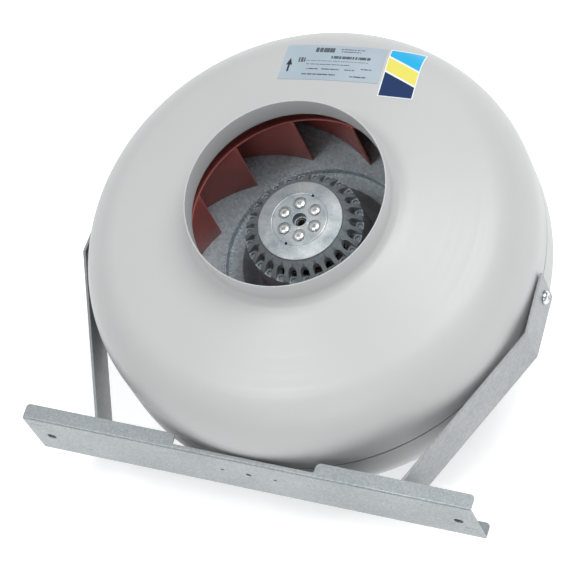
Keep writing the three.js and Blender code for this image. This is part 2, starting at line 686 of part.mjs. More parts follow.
const clipInner = CAPACITOR_RADIUS + GAP;
const clipLift = (LEG_LIFT + CLIP_SHEET / 2) / Math.cos(FACE_SLOPE);
const clipTab = stripOutline([
  [clipRivetCircle - 5, rearInner(clipRivetCircle - 5) + clipLift],
  [clipRivetCircle + 8, rearInner(clipRivetCircle + 8) + clipLift],
  [capacitorRadius - 4, capacitorHeight - clipInner + 0.2],
], CLIP_SHEET);
const clipBand = bar(clipInner + CLIP_SHEET, -CLIP_WIDTH / 2, CLIP_WIDTH / 2);
node("capacitor_clip", cut(
  joined(besideWall(clipBand), radialStrip(clipTab, CLIP_WIDTH, CAPACITOR_ANGLE)),
  [
    besideWall(bar(clipInner, -CAPACITOR_LENGTH, CAPACITOR_LENGTH)),
    onRearCone(shankHole(8), clipRivetCircle, CAPACITOR_ANGLE),
  ],
), galvanised);
node("clip_rivet", geometryOf(solidOf(
  onRearCone(shellRivet(-SHELL_WALL - LEG_LIFT - CLIP_SHEET), clipRivetCircle, CAPACITOR_ANGLE),
)), steel);

const hexagon = (radius, bottom, top) => bar(radius, bottom, top, 6);
const glandBody = joined(
  bar(GLAND_NECK_RADIUS, -GLAND_NECK_LENGTH, 3),
  hexagon(10, GAP, 6),
  turned([[0, 5], [8, 5], [8, 11], [5.6, 16], [0, 16]], PIN_FACETS),
);
const glandBore = bar(LEAD_RADIUS + 2 * GAP, -GLAND_NECK_LENGTH - 1, 17);
node("cable_gland", onRearCone(cut(glandBody, [glandBore]), glandCircle, GLAND_ANGLE), blackPlastic);
node("gland_nut", onRearCone(cut(hexagon(9.5, -SHELL_WALL - 4.4, -SHELL_WALL - GAP), [
  bar(GLAND_NECK_RADIUS + GAP, -GLAND_NECK_LENGTH, 1),
]), glandCircle, GLAND_ANGLE), blackPlastic);

/** A round cable through [radius, degrees, height] points. */
function cable(points) {
  const route = points.map(([r, degrees, z]) => new THREE.Vector3(...polar(r, radians(degrees)), z));
  const shape = new THREE.Shape().absarc(0, 0, LEAD_RADIUS, 0, 2 * Math.PI);
  return new THREE.ExtrudeGeometry(shape, {
    extrudePath: new THREE.CatmullRomCurve3(route),
    steps: 20,
    curveSegments: 5,
    bevelEnabled: false,
  });
}
const leadTop = STATOR_FLANGE_TOP - 1;
const glandDepth = (depth) => {
  const point = onRearCone(new THREE.BufferGeometry().setFromPoints([new THREE.Vector3(0, 0, -depth)]),
    glandCircle, GLAND_ANGLE).getAttribute("position");
  const [x, y, z] = point.array;
  return [Math.hypot(x, y), THREE.MathUtils.radToDeg(Math.atan2(y, x)), z];
};
node("motor_lead", cable([
  [LEAD_CIRCLE, 60, leadTop],
  [LEAD_CIRCLE, 60, supportBottom - 1],
  [LEAD_CIRCLE + 10, 60, supportBottom - 9],
  [80, 62, supportBottom - 19],
  glandDepth(26),
  glandDepth(GLAND_NECK_LENGTH + 6),
  glandDepth(GLAND_NECK_LENGTH - 4),
]), blackPlastic);

/** A point beyond the capacitor's boss, as [radius, degrees, height]. */
const capacitorPoint = (beyond, out = 0) => {
  const [x, y] = [capacitorRadius + out, capacitorEnd + beyond];
  return [Math.hypot(x, y), THREE.MathUtils.radToDeg(Math.atan2(y, x) + CAPACITOR_ANGLE), capacitorHeight];
};
node("capacitor_lead", cable([
  [LEAD_CIRCLE, 5, leadTop],
  [LEAD_CIRCLE, 5, supportTop],
  [LEAD_CIRCLE, 5, supportBottom - 3],
  [LEAD_CIRCLE + 12, 6, supportBottom - 10],
  [LEAD_CIRCLE + 30, 10, supportBottom - 16],
  [capacitorRadius - 40, 22, supportBottom - 18],
  capacitorPoint(18, -24),
  capacitorPoint(16, -6),
  capacitorPoint(8),
  capacitorPoint(GAP),
]), blackPlastic);

// ---------------------------------------------------------------- bracket

/** An upright wall of the channel, drawn from the -Y side, with its middle cut down to a lip. */
function flangeOutline() {
  const right = [
    [baseHalf, -baseFace],
    [baseHalf, -flangeTip],
    ...arc([cutHalf + LIP_CORNER, -flangeTip - LIP_CORNER], LIP_CORNER, Math.PI / 2, Math.PI, 4),
    [cutHalf, -lipTip],
  ];
  const left = right.map(([x, y]) => [-x, y]).reverse();
  return [...right, ...left];
}

/** The web of the channel, with its holes. */
function webGeometry() {
  const shape = new THREE.Shape([
    [-baseHalf, baseBack],
    [baseHalf, baseBack],
    [baseHalf, BASE_FRONT],
    [-baseHalf, BASE_FRONT],
  ].map(([x, z]) => new THREE.Vector2(x, z)));
  const web = new THREE.ExtrudeGeometry(shape, { depth: BASE_SHEET, bevelEnabled: false });
  const holes = [
    [baseHalf - END_HOLE_INSET, BASE_FRONT - END_HOLE_DROP, END_HOLE_RADIUS],
    [END_HOLE_INSET - baseHalf, BASE_FRONT - END_HOLE_DROP, END_HOLE_RADIUS],
    [SMALL_HOLE_SPREAD, BASE_FRONT - SMALL_HOLE_DROP, SMALL_HOLE_RADIUS],
    [-SMALL_HOLE_SPREAD, BASE_FRONT - SMALL_HOLE_DROP, SMALL_HOLE_RADIUS],
    [0, BASE_FRONT - SMALL_HOLE_DROP, 1.5 * SMALL_HOLE_RADIUS],
  ].map(([x, z, radius]) => bar(radius, -1, BASE_SHEET + 1, HOLE_FACETS).translate(x, z, 0));
  return cut(web, holes).rotateX(Math.PI / 2).translate(0, BASE_SHEET - baseFace, 0);
}

node("base_channel", joined(
  webGeometry(),
  prism(flangeOutline(), BASE_FRONT - BASE_SHEET, BASE_FRONT),
  prism(flangeOutline(), baseBack, baseBack + BASE_SHEET),
), galvanised);

/** X of the middle of an arm's sloping part at a height. */
const slopeX = (y) => (HOUSING_RADIUS + ARM_GAP + y * Math.sin(ARM_SLOPE)) / Math.cos(ARM_SLOPE);
const armTopX = HOUSING_RADIUS + ARM_TOP_GAP;
const armLine = [
  [baseHalf - FOOT_INSET, footY],
  [slopeX(footY), footY],
  [slopeX(-ARM_KINK), -ARM_KINK],
  [armTopX, ARM_TOP],
];
const armLean = (slopeX(-ARM_KINK) - armTopX) / (ARM_TOP + ARM_KINK);
const pivotX = armTopX + armLean * (ARM_TOP - PIVOT_HEIGHT);
const underHead = pivotX + ARM_SHEET / 2 + PIVOT_HEAD_RADIUS * armLean + GAP / 2;
const nutFace = lapInside - 2 * GAP - 0.2;
const NUT_LENGTH = 9;

[["right", 1], ["left", -1]].forEach(([word, side]) => {
  const strip = prism(stripOutline(armLine, ARM_SHEET), armFront - ARM_WIDTH, armFront);
  if (side < 0) strip.rotateY(Math.PI).translate(0, 0, 2 * armFront - ARM_WIDTH);
  node(`${word}_arm`, cut(strip, [
    pivotBar(PIVOT_RADIUS + RUNNING, HOUSING_RADIUS, underHead + 4, side),
  ]), galvanised);

  node(`pivot_screw_${word}`, joined(
    pivotBar(PIVOT_RADIUS, nutFace - NUT_LENGTH - 2, underHead + 1, side),
    pivotBar(PIVOT_HEAD_RADIUS, underHead, underHead + PIVOT_HEAD_HEIGHT, side),
  ), zinc);

  node(`rivet_nut_${word}`, cut(pivotBar(5.5, nutFace - NUT_LENGTH, nutFace, side), [
    pivotBar(PIVOT_RADIUS + GAP, nutFace - NUT_LENGTH - 1, nutFace + 1, side),
  ]), zinc);
});

// ---------------------------------------------------------------- placing

fan.position.set(0, (baseFace - HOUSING_RADIUS) / 2, HALF_LENGTH);
const part = new THREE.Group();
part.add(fan);

export default part;
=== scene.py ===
# %% [markdown]
# # An inline duct fan: a round steel housing in a tilting bracket
#
# The fan pushes air through a round duct. Two spun steel shells meet at a seam and hold a red impeller
# that turns on its own motor. A bent sheet bracket carries the housing on two screws.
#
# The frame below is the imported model. It gives every size and place, and nothing in it is moved. Each
# piece that shows is either built again here with its real curves, or keeps its solid and gets a finish.

import math

import bmesh
import bpy
from mathutils import Matrix, Vector


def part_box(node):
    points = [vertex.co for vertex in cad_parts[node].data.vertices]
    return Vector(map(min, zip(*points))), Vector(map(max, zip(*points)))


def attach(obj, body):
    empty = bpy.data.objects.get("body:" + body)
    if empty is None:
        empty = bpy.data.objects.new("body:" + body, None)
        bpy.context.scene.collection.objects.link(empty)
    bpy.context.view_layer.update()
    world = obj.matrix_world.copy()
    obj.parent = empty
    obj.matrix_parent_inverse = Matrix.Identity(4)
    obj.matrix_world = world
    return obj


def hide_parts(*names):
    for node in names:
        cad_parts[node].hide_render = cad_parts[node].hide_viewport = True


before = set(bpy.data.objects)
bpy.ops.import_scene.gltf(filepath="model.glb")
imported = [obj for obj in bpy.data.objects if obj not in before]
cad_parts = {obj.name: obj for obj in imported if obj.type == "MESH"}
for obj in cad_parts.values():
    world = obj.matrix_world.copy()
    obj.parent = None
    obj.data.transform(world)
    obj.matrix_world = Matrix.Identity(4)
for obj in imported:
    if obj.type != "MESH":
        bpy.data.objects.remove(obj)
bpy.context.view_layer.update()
MM = 0.001
print("nodes:", len(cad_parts))

# %% [markdown]
# The middle of the seam is the best place to measure from: the two shells mirror each other there, and
# the fan axis runs through it. The seal that sits in the seam gives that point, so it is read from the
# frame and not typed in.

# %% The middle of the fan
seal_low, seal_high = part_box("seam_seal")
FAN = (seal_low + seal_high) / 2
TO_FAN = Matrix.Translation(FAN) @ Matrix.Scale(MM, 4)
shell_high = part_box("front_shell")[1]
HALF_LENGTH = (shell_high.z - FAN.z) / MM
HOUSING_RADIUS = (shell_high.x - FAN.x) / MM
print("fan middle", [round(v, 4) for v in FAN], "radius", round(HOUSING_RADIUS, 2), "mm")

# %% [markdown]
# ## Camera
#
# A long lens from high on the inlet side flattens the round housing into a broad ellipse and still shows
# the rotor at the bottom of the throat. The camera's directions are written as three vectors, because it
# also leans a little: the base channel runs downhill to the right.

# %% Camera
CAMERA_FROM_FAN = Vector((0.8774, -0.9165, 2.1916))
CAMERA_RIGHT = Vector((0.9199, 0.2998, -0.2529))
CAMERA_UP = Vector((-0.1716, 0.8873, 0.4281))
FIELD_OF_VIEW = math.radians(9.69)


def place_camera():
    """A camera whose local axes are the three directions, with no shift and no depth of field."""
    data = bpy.data.cameras.new("camera")
    data.sensor_width = 36.0
    data.angle = FIELD_OF_VIEW
    data.clip_start = 0.01
    camera = bpy.data.objects.new("camera", data)
    back = CAMERA_RIGHT.cross(CAMERA_UP).normalized()
    turn = Matrix((CAMERA_RIGHT.normalized(), back.cross(CAMERA_RIGHT).normalized(), back)).transposed()
    camera.matrix_world = Matrix.Translation(FAN + CAMERA_FROM_FAN) @ turn.to_4x4()
    bpy.context.scene.collection.objects.link(camera)
    bpy.context.scene.camera = camera
    return camera


camera = place_camera()
print("lens", round(camera.data.lens, 1), "mm")

# %% [markdown]
# ## Light and floor
#
# Pale satin paint only looks round when it reflects something that changes: here a bright room, a large
# soft light above and to the right, weak ones from the left and from in front of the bracket, and a small
# one that reaches down the throat to the back plate. The floor is a plain white sheet that glows a little,
# so that it stays white around the fan.

# %% Floor and lights
FLOOR_DROP = 0.0004
FLOOR_HALF = 4.0


def plain_floor():
    """A pale sheet just under the outlet rim. It glows a little, so that it stays white."""
    mesh = bpy.data.meshes.new("floor")
    corners = [(x * FLOOR_HALF, y * FLOOR_HALF, -FLOOR_DROP) for x, y in ((-1, -1), (1, -1), (1, 1), (-1, 1))]
    mesh.from_pydata(corners, [], [(0, 1, 2, 3)])
    floor = bpy.data.objects.new("floor", mesh)
    bpy.context.scene.collection.objects.link(floor)
    paper = bpy.data.materials.new("floor_paper")
    paper.use_nodes = True
    shader = paper.node_tree.nodes["Principled BSDF"]
    shader.inputs["Base Color"].default_value = (0.93, 0.93, 0.93, 1)
    shader.inputs["Roughness"].default_value = 0.9
    shader.inputs["Emission Color"].default_value = (1, 1, 1, 1)
    shader.inputs["Emission Strength"].default_value = 0.35
    mesh.materials.append(paper)


def soft_light(name, place, size, watts):
    """A square area light that looks at the fan."""
    data = bpy.data.lights.new(name, "AREA")
    data.shape = "SQUARE"
    data.size = size
    data.energy = watts
    light = bpy.data.objects.new(name, data)
    light.location = FAN + Vector(place)
    light.rotation_euler = (-Vector(place)).to_track_quat("-Z", "Y").to_euler()
    bpy.context.scene.collection.objects.link(light)


LIGHTS = [
    # name, place from the fan in metres, side in metres, watts
    ("key_light", (0.95, 0.75, 2.3), 1.6, 40),
    ("left_light", (-1.9, 0.3, 1.5), 1.4, 3),
    ("throat_light", (-0.5, -0.62, 2.25), 0.5, 13),
    ("low_light", (0.5, -2.0, 1.6), 1.2, 7),
]
plain_floor()
for light_facts in LIGHTS:
    soft_light(*light_facts)
world = bpy.data.worlds.new("room")
world.use_nodes = True
sky = world.node_tree.nodes["Background"].inputs
sky["Color"].default_value = (0.95, 0.98, 1.0, 1)
sky["Strength"].default_value = 0.44
bpy.context.scene.world = world
bpy.context.scene.view_settings.view_transform = "Standard"

# %% [markdown]
# ## Making finishes
#
# A finish is a small network of nodes. Two helpers keep that short to write: `add` places a node and
# sets or joins its sockets by name, and `calc` does one step of arithmetic.

# %% Node helpers
def add(tree, kind, settings=None, **sockets):
    """A new node. Settings are its own options; a socket's value is a number, a colour or an output."""
    node = tree.nodes.new(kind)
    for name, value in (settings or {}).items():
        setattr(node, name, value)
    for name, value in sockets.items():
        socket = node.inputs[name.replace("_", " ")]
        if isinstance(value, bpy.types.NodeSocket):
            tree.links.new(value, socket)
        else:
            socket.default_value = value
    return node


def calc(tree, operation, *values):
    """One arithmetic step on numbers or outputs."""
    node = tree.nodes.new("ShaderNodeMath")
    node.operation = operation
    for socket, value in zip(node.inputs, values):
        if isinstance(value, bpy.types.NodeSocket):
            tree.links.new(value, socket)
        else:
            socket.default_value = value
    return node.outputs[0]


def mix(tree, share, low, high):
    """A colour between two others."""
    node = tree.nodes.new("ShaderNodeMix")
    node.data_type = "RGBA"
    for socket, value in ((node.inputs[0], share), (node.inputs[6], low), (node.inputs[7], high)):
        if isinstance(value, bpy.types.NodeSocket):
            tree.links.new(value, socket)
        else:
            socket.default_value = value
    return node.outputs[2]


def spread(tree, value, low, high, new_low=0.0, new_high=1.0):
    """A value taken from one range to another, and held inside it."""
    node = add(tree, "ShaderNodeMapRange", Value=value)
    for name, number in (("From Min", low), ("From Max", high), ("To Min", new_low), ("To Max", new_high)):
        node.inputs[name].default_value = number
    return node.outputs[0]


def grey(value, tint=(1.0, 1.0, 1.0)):
    """A colour from one brightness and a tint."""
    return (value * tint[0], value * tint[1], value * tint[2], 1.0)


def new_group(name, inputs, outputs):
    """An empty node group with named sockets, and its two end nodes."""
    tree = bpy.data.node_groups.new(name, "ShaderNodeTree")
    kinds = {"value": "NodeSocketFloat", "colour": "NodeSocketColor", "vector": "NodeSocketVector"}
    for socket, kind, start in inputs:
        made = tree.interface.new_socket(socket, in_out="INPUT", socket_type=kinds[kind])
        if start is not None:
            made.default_value = start
    for socket, kind in outputs:
        tree.interface.new_socket(socket, in_out="OUTPUT", socket_type=kinds[kind])
    return tree, tree.nodes.new("NodeGroupInput").outputs, tree.nodes.new("NodeGroupOutput").inputs

# %% [markdown]
# Three effects come back in many finishes, so each is a node group that gives colours and heights only.
#
# - `soft_mottle`: slow, cloudy variation and a finer grain on top, as in cast metal, rubber or plastic.
# - `zinc_spangle`: the small flat crystals of galvanised sheet. Cells of random brightness do this, with
#   a little noise in the lookup so that no edge is straight.
# - `turned_rings`: fine rings about the fan axis, left by the roller that spins a shell over its form.

# %% Shared effects
NOISE_LOW, NOISE_HIGH = 0.3, 0.7
CRYSTAL_WOBBLE = 0.0016


def group_soft_mottle():
    """Clouds and grain between two colours, and the grain as a height."""
    tree, given, out = new_group(
        "soft_mottle",
        [("Dark", "colour", None), ("Light", "colour", None), ("Cloud Scale", "value", 30.0),
         ("Grain Scale", "value", 400.0), ("Grain Share", "value", 0.4)],
        [("Color", "colour"), ("Height", "value"), ("Cloud", "value")],
    )
    place = add(tree, "ShaderNodeTexCoord").outputs["Object"]
    cloud = add(tree, "ShaderNodeTexNoise", Vector=place, Scale=given["Cloud Scale"], Detail=4.0)
    grain = add(tree, "ShaderNodeTexNoise", Vector=place, Scale=given["Grain Scale"], Detail=3.0)
    slow = spread(tree, cloud.outputs["Fac"], NOISE_LOW, NOISE_HIGH)
    fine = spread(tree, grain.outputs["Fac"], NOISE_LOW, NOISE_HIGH)
    both = calc(tree, "ADD", calc(tree, "MULTIPLY", fine, given["Grain Share"]),
                calc(tree, "MULTIPLY", slow, calc(tree, "SUBTRACT", 1.0, given["Grain Share"])))
    tree.links.new(mix(tree, both, given["Dark"], given["Light"]), out["Color"])
    tree.links.new(fine, out["Height"])
    tree.links.new(slow, out["Cloud"])
    return tree


def group_zinc_spangle():
    """Crystals of random brightness, some fine grain, and dull patches."""
    tree, given, out = new_group(
        "zinc_spangle",
        [("Dark", "colour", None), ("Light", "colour", None), ("Crystal Scale", "value", 300.0),
         ("Contrast", "value", 1.0)],
        [("Color", "colour"), ("Roughness", "value"), ("Height", "value")],
    )
    place = add(tree, "ShaderNodeTexCoord").outputs["Object"]
    wobble = add(tree, "ShaderNodeTexNoise", Vector=place, Scale=600.0, Detail=2.0)
    shift = add(tree, "ShaderNodeVectorMath", {"operation": "SCALE"}, Vector=wobble.outputs["Color"],
                Scale=CRYSTAL_WOBBLE)
    moved = add(tree, "ShaderNodeVectorMath", {"operation": "ADD"})
    tree.links.new(place, moved.inputs[0])
    tree.links.new(shift.outputs[0], moved.inputs[1])
    cells = add(tree, "ShaderNodeTexVoronoi", Vector=moved.outputs[0], Scale=given["Crystal Scale"])
    crystal = add(tree, "ShaderNodeSeparateColor", Color=cells.outputs["Color"]).outputs[0]
    patch = add(tree, "ShaderNodeTexNoise", Vector=place, Scale=18.0, Detail=3.0)
    level = calc(tree, "ADD", calc(tree, "MULTIPLY", crystal, given["Contrast"]),
                 spread(tree, patch.outputs["Fac"], NOISE_LOW, NOISE_HIGH, -0.05, 0.2))
    tree.links.new(mix(tree, level, given["Dark"], given["Light"]), out["Color"])
    tree.links.new(spread(tree, level, 0.0, 1.3, 0.5, 0.32), out["Roughness"])
    tree.links.new(crystal, out["Height"])
    return tree


def group_turned_rings():
    """Fine rings about the fan axis, as a height from 0 to 1."""
    tree, given, out = new_group(
        "turned_rings", [("Ring Scale", "value", 900.0), ("Wander", "value", 0.35)],
        [("Height", "value"), ("Radius", "value"), ("Angle", "value")],
    )
    place = add(tree, "ShaderNodeTexCoord").outputs["Object"]
    part = add(tree, "ShaderNodeSeparateXYZ", Vector=place).outputs
    x = calc(tree, "SUBTRACT", part["X"], FAN.x)
    y = calc(tree, "SUBTRACT", part["Y"], FAN.y)
    radius = calc(tree, "SQRT", calc(tree, "ADD", calc(tree, "MULTIPLY", x, x), calc(tree, "MULTIPLY", y, y)))
    along = add(tree, "ShaderNodeCombineXYZ", X=radius, Y=part["Z"])
    rings = add(tree, "ShaderNodeTexNoise", Vector=along.outputs[0], Scale=given["Ring Scale"], Detail=2.0)
    drift = add(tree, "ShaderNodeTexNoise", Vector=place, Scale=9.0, Detail=2.0)
    wander = calc(tree, "MULTIPLY", drift.outputs["Fac"], given["Wander"])
    tree.links.new(calc(tree, "ADD", rings.outputs["Fac"], wander), out["Height"])
    tree.links.new(radius, out["Radius"])
    tree.links.new(calc(tree, "ARCTAN2", y, x), out["Angle"])
    return tree


EFFECTS = {tree.name: tree for tree in (group_soft_mottle(), group_zinc_spangle(), group_turned_rings())}
print("shared effects:", sorted(EFFECTS))

# %% [markdown]
# `Finish` opens a material and holds what a finish needs: its tree, its shader, and ways to place a
# shared effect, to feed the shader and to turn a height into a bump.

# %% Opening a finish
class Finish:
    """A material under construction."""

    def __init__(self, name, roughness=0.5, metallic=0.0, coat=0.0):
        self.material = bpy.data.materials.new(name)
        self.material.use_nodes = True
        self.tree = self.material.node_tree
        self.shader = self.tree.nodes["Principled BSDF"]
        self.shader.inputs["Roughness"].default_value = roughness
        self.shader.inputs["Metallic"].default_value = metallic
        self.shader.inputs["Coat Weight"].default_value = coat

    def effect(self, name, **values):
        """One of the shared effects, with this finish's own values."""
        node = self.tree.nodes.new("ShaderNodeGroup")
        node.node_tree = EFFECTS[name]
        for socket, value in values.items():
            node.inputs[socket.replace("_", " ")].default_value = value
        return node.outputs

    def feed(self, socket, output):
        """Joins an output to one of the shader's sockets."""
        self.tree.links.new(output, self.shader.inputs[socket])

    def bump(self, height, strength, depth):
        """Relief from a height, in metres of depth."""
        node = add(self.tree, "ShaderNodeBump", Height=height, Strength=strength, Distance=depth)
        self.feed("Normal", node.outputs[0])

# %% [markdown]
# ### Powder coat
#
# The housing is baked powder: a light, slightly cool grey with a satin shine. Powder flows out to a
# very shallow orange-peel texture, and the spinning rings of the steel under it still show through.

# %% Powder coat
def powder_coat():
    made = Finish("powder_coat", roughness=0.36)
    tint = (0.995, 1.005, 1.0)
    mottle = made.effect("soft_mottle", Dark=grey(0.50, tint), Light=grey(0.545, tint), Cloud_Scale=5.0,
                         Grain_Scale=900.0, Grain_Share=0.12)
    rings = made.effect("turned_rings", Ring_Scale=420.0, Wander=0.5)
    made.feed("Base Color", mottle["Color"])
    peel = calc(made.tree, "MULTIPLY", mottle["Height"], 0.35)
    made.bump(calc(made.tree, "ADD", rings["Height"], peel), 0.35, 0.00012)
    made.feed("Roughness", spread(made.tree, rings["Height"], 0.4, 0.9, 0.3, 0.42))
    return made.material


def seal_black_for_slit_shade():
    # Near-black rubber; the black also serves as painted shade in the seam's slit.
    made = Finish("seal_black_for_slit_shade", roughness=0.6)
    mottle = made.effect("soft_mottle", Dark=grey(0.006), Light=grey(0.02), Cloud_Scale=60.0)
    made.feed("Base Color", mottle["Color"])
    made.bump(mottle["Height"], 0.3, 0.0001)
    return made.material

# %% [markdown]
# ### Galvanised sheet
#
# Zinc on steel is metal, so most of its look is what it reflects. The base channel has a fine, bright
# spangle. The back plate of the impeller is duller and bluer. Deep in the throat it would only mirror the
# red blades and the dark of the housing, so its oxide skin makes it less metallic than the bracket.

# %% Galvanised sheet and back plate
STEP_RIBS = 150.0
RIB_HEIGHT = 4.0


def galvanised(name, dark, light, crystals, contrast, metallic=0.75):
    made = Finish(name, metallic=metallic)
    zinc = made.effect("zinc_spangle", Dark=dark, Light=light, Crystal_Scale=crystals, Contrast=contrast)
    made.feed("Base Color", zinc["Color"])
    made.feed("Roughness", zinc["Roughness"])
    made.bump(zinc["Height"], 0.25, 0.00006)
    return made.material


def back_plate_zinc(step_radius):
    """Galvanised, with the fine ribs that the press leaves in the wall of the step."""
    made = Finish("back_plate_zinc", metallic=0.3)
    dark, light = grey(0.42, (0.84, 1.0, 1.08)), grey(0.68, (0.88, 1.0, 1.06))
    zinc = made.effect("zinc_spangle", Dark=dark, Light=light, Crystal_Scale=520.0, Contrast=0.75)
    made.feed("Base Color", zinc["Color"])
    made.feed("Roughness", zinc["Roughness"])
    rings = made.effect("turned_rings")
    tree = made.tree
    ribs = calc(tree, "SINE", calc(tree, "MULTIPLY", rings["Angle"], STEP_RIBS))
    from_step = calc(tree, "ABSOLUTE", calc(tree, "SUBTRACT", rings["Radius"], step_radius * MM))
    near = spread(tree, from_step, 1.2 * MM, 2.2 * MM, 1.0, 0.0)
    tall = calc(tree, "MULTIPLY", calc(tree, "MULTIPLY", ribs, near), RIB_HEIGHT)
    made.bump(calc(tree, "ADD", tall, zinc["Height"]), 0.5, 0.00012)
    return made.material

# %% [markdown]
# ### Red blades
#
# The blades and the shroud carry a brick-red primer, thin enough to be a little uneven. A paler red is
# painted along every sharp edge as a highlight, where the edges catch the light. The pointiness of the
# surface finds them.

# %% Red coat
# The paler red of the painted edge highlight.
EDGE_HIGHLIGHT_RED = (0.46, 0.2, 0.17, 1)


def red_coat():
    made = Finish("red_coat", roughness=0.42)
    mottle = made.effect("soft_mottle", Dark=(0.34, 0.080, 0.070, 1), Light=(0.47, 0.118, 0.104, 1),
                         Cloud_Scale=40.0, Grain_Scale=700.0, Grain_Share=0.3)
    # Paler red along every sharp edge: a painted highlight.
    edge = spread(made.tree, add(made.tree, "ShaderNodeNewGeometry").outputs["Pointiness"], 0.53, 0.62)
    made.feed("Base Color", mix(made.tree, edge, mottle["Color"], EDGE_HIGHLIGHT_RED))
    made.feed("Roughness", spread(made.tree, mottle["Cloud"], 0.0, 1.0, 0.36, 0.5))
    made.bump(mottle["Height"], 0.25, 0.00008)
    return made.material

# %% [markdown]
# ### Castings, plain steel, plastic and copper
#
# The pieces inside the motor and the small hardware share four finishes. A casting is cloudy, a turned piece
# is even and bright, a moulding is dull with a fine grain, and the winding shows its turns of wire, with
# painted shade between them.

# %% Motor finishes
def cast_aluminium(name, dark, light, roughness=(0.34, 0.5)):
    made = Finish(name, metallic=0.85)
    mottle = made.effect("soft_mottle", Dark=dark, Light=light, Cloud_Scale=190.0, Grain_Scale=900.0,
                         Grain_Share=0.45)
    made.feed("Base Color", mottle["Color"])
    made.feed("Roughness", spread(made.tree, mottle["Cloud"], 0.0, 1.0, *roughness))
    made.bump(mottle["Height"], 0.35, 0.00012)
    return made.material


def plain_metal(name, dark, light, roughness, grain=600.0):
    made = Finish(name, roughness=roughness, metallic=0.95)
    mottle = made.effect("soft_mottle", Dark=dark, Light=light, Cloud_Scale=80.0, Grain_Scale=grain)
    made.feed("Base Color", mottle["Color"])
    made.bump(mottle["Height"], 0.2, 0.00005)
    return made.material


def moulded(name, dark, light, roughness):
    made = Finish(name, roughness=roughness)
    mottle = made.effect("soft_mottle", Dark=dark, Light=light, Cloud_Scale=50.0, Grain_Scale=1100.0)
    made.feed("Base Color", mottle["Color"])
    made.bump(mottle["Height"], 0.3, 0.00006)
    return made.material


WIRE_PITCH = 9000.0
COPPER_GROOVE_SHADE_AND_CREST = (0.16, 0.045, 0.012, 1), (0.5, 0.17, 0.06, 1)


def copper_winding():
    """Varnished wire: fine turns that run round the fan axis, painted darker between the turns as shade."""
    made = Finish("copper_winding", roughness=0.35, metallic=0.6, coat=0.4)
    rings = made.effect("turned_rings", Ring_Scale=1500.0)
    wires = calc(made.tree, "SINE", calc(made.tree, "MULTIPLY", rings["Radius"], WIRE_PITCH))
    # Darker in the grooves between turns: painted shade.
    made.feed("Base Color", mix(made.tree, spread(made.tree, wires, -1, 1), *COPPER_GROOVE_SHADE_AND_CREST))
    made.bump(wires, 0.6, 0.0003)
    return made.material


FINISHES = {
    "powder_coat": powder_coat(),
    "black_rubber": seal_black_for_slit_shade(),
    "galvanised_steel": galvanised("galvanised_steel", grey(0.50, (0.97, 1.0, 1.02)),
                                   grey(0.74, (0.98, 1.0, 1.01)), 420.0, 0.55),
    "red_coat": red_coat(),
    "cast_aluminium": cast_aluminium("cast_aluminium", grey(0.33), grey(0.72, (1.0, 1.0, 0.99))),
    "steel": plain_metal("steel", grey(0.2), grey(0.38), 0.4),
    "zinc": plain_metal("zinc", grey(0.5), grey(0.68), 0.3),
    "copper_winding": copper_winding(),
    "grey_plastic": moulded("grey_plastic", grey(0.2), grey(0.28), 0.5),
    "black_plastic": moulded("black_plastic", grey(0.008), grey(0.02), 0.45),
}
print("finishes:", len(FINISHES))

# %% [markdown]
# ## Making shapes
#
# Most of this fan is turned, spun or pressed, so three ways of making cover it: a profile swept round
# an axis, an outline pushed straight, and a strip that follows a bent line. All of them are written in
# millimetres from the middle of the fan, and only the last step goes to metres and the frame.

# %% Shape helpers
def to_object(name, corners, faces, place=TO_FAN, sharp=35.0):
    """A mesh object from corners in millimetres, closed, facing out, smooth but for its sharp edges."""
    mesh = bpy.data.meshes.new(name)
    mesh.from_pydata([place @ Vector(c) for c in corners], [], faces)
    made = bpy.data.objects.new(name, mesh)
    bpy.context.scene.collection.objects.link(made)
    tidy(made, sharp)
    return made


def tidy(made, sharp=35.0):
    """Merges doubled corners, turns every face outwards and marks the sharp edges."""
    work = bmesh.new()
    work.from_mesh(made.data)
    bmesh.ops.remove_doubles(work, verts=work.verts, dist=1e-6)
    bmesh.ops.dissolve_degenerate(work, edges=work.edges, dist=1e-7)
    bmesh.ops.recalc_face_normals(work, faces=work.faces)
    work.to_mesh(made.data)
    work.free()
    for face in made.data.polygons:
        face.use_smooth = True
    made.data.set_sharp_from_angle(angle=math.radians(sharp))

# %% [markdown]
# A turned shape starts as half of its section, drawn beside the axis, and `arc` gives the points of its
# round stretches. The sweep is worked out here and not left to a modifier, because the faces then come
# out as clean rows of quads.

# %% Arcs, turned shapes and pushed outlines
def arc(centre, radius, start, end, steps):
    """Points of an arc, angles in radians."""
    return [
        (centre[0] + radius * math.cos(a), centre[1] + radius * math.sin(a))
        for a in (start + (end - start) * i / steps for i in range(steps + 1))
    ]


def lathe(name, profile, steps=192, place=TO_FAN, sharp=35.0):
    """A profile of (radius, height) swept round Z. A closed loop gives a ring; one that starts and ends
    on the axis gives a solid."""
    solid = profile[0][0] < 1e-6 and profile[-1][0] < 1e-6
    count = len(profile)
    corners = [
        (r * math.cos(2 * math.pi * s / steps), r * math.sin(2 * math.pi * s / steps), z)
        for s in range(steps) for r, z in profile
    ]
    rows = range(count - 1) if solid else range(count)
    faces = [
        (s * count + i, ((s + 1) % steps) * count + i, ((s + 1) % steps) * count + (i + 1) % count,
         s * count + (i + 1) % count)
        for s in range(steps) for i in rows
    ]
    return to_object(name, corners, faces, place, sharp)


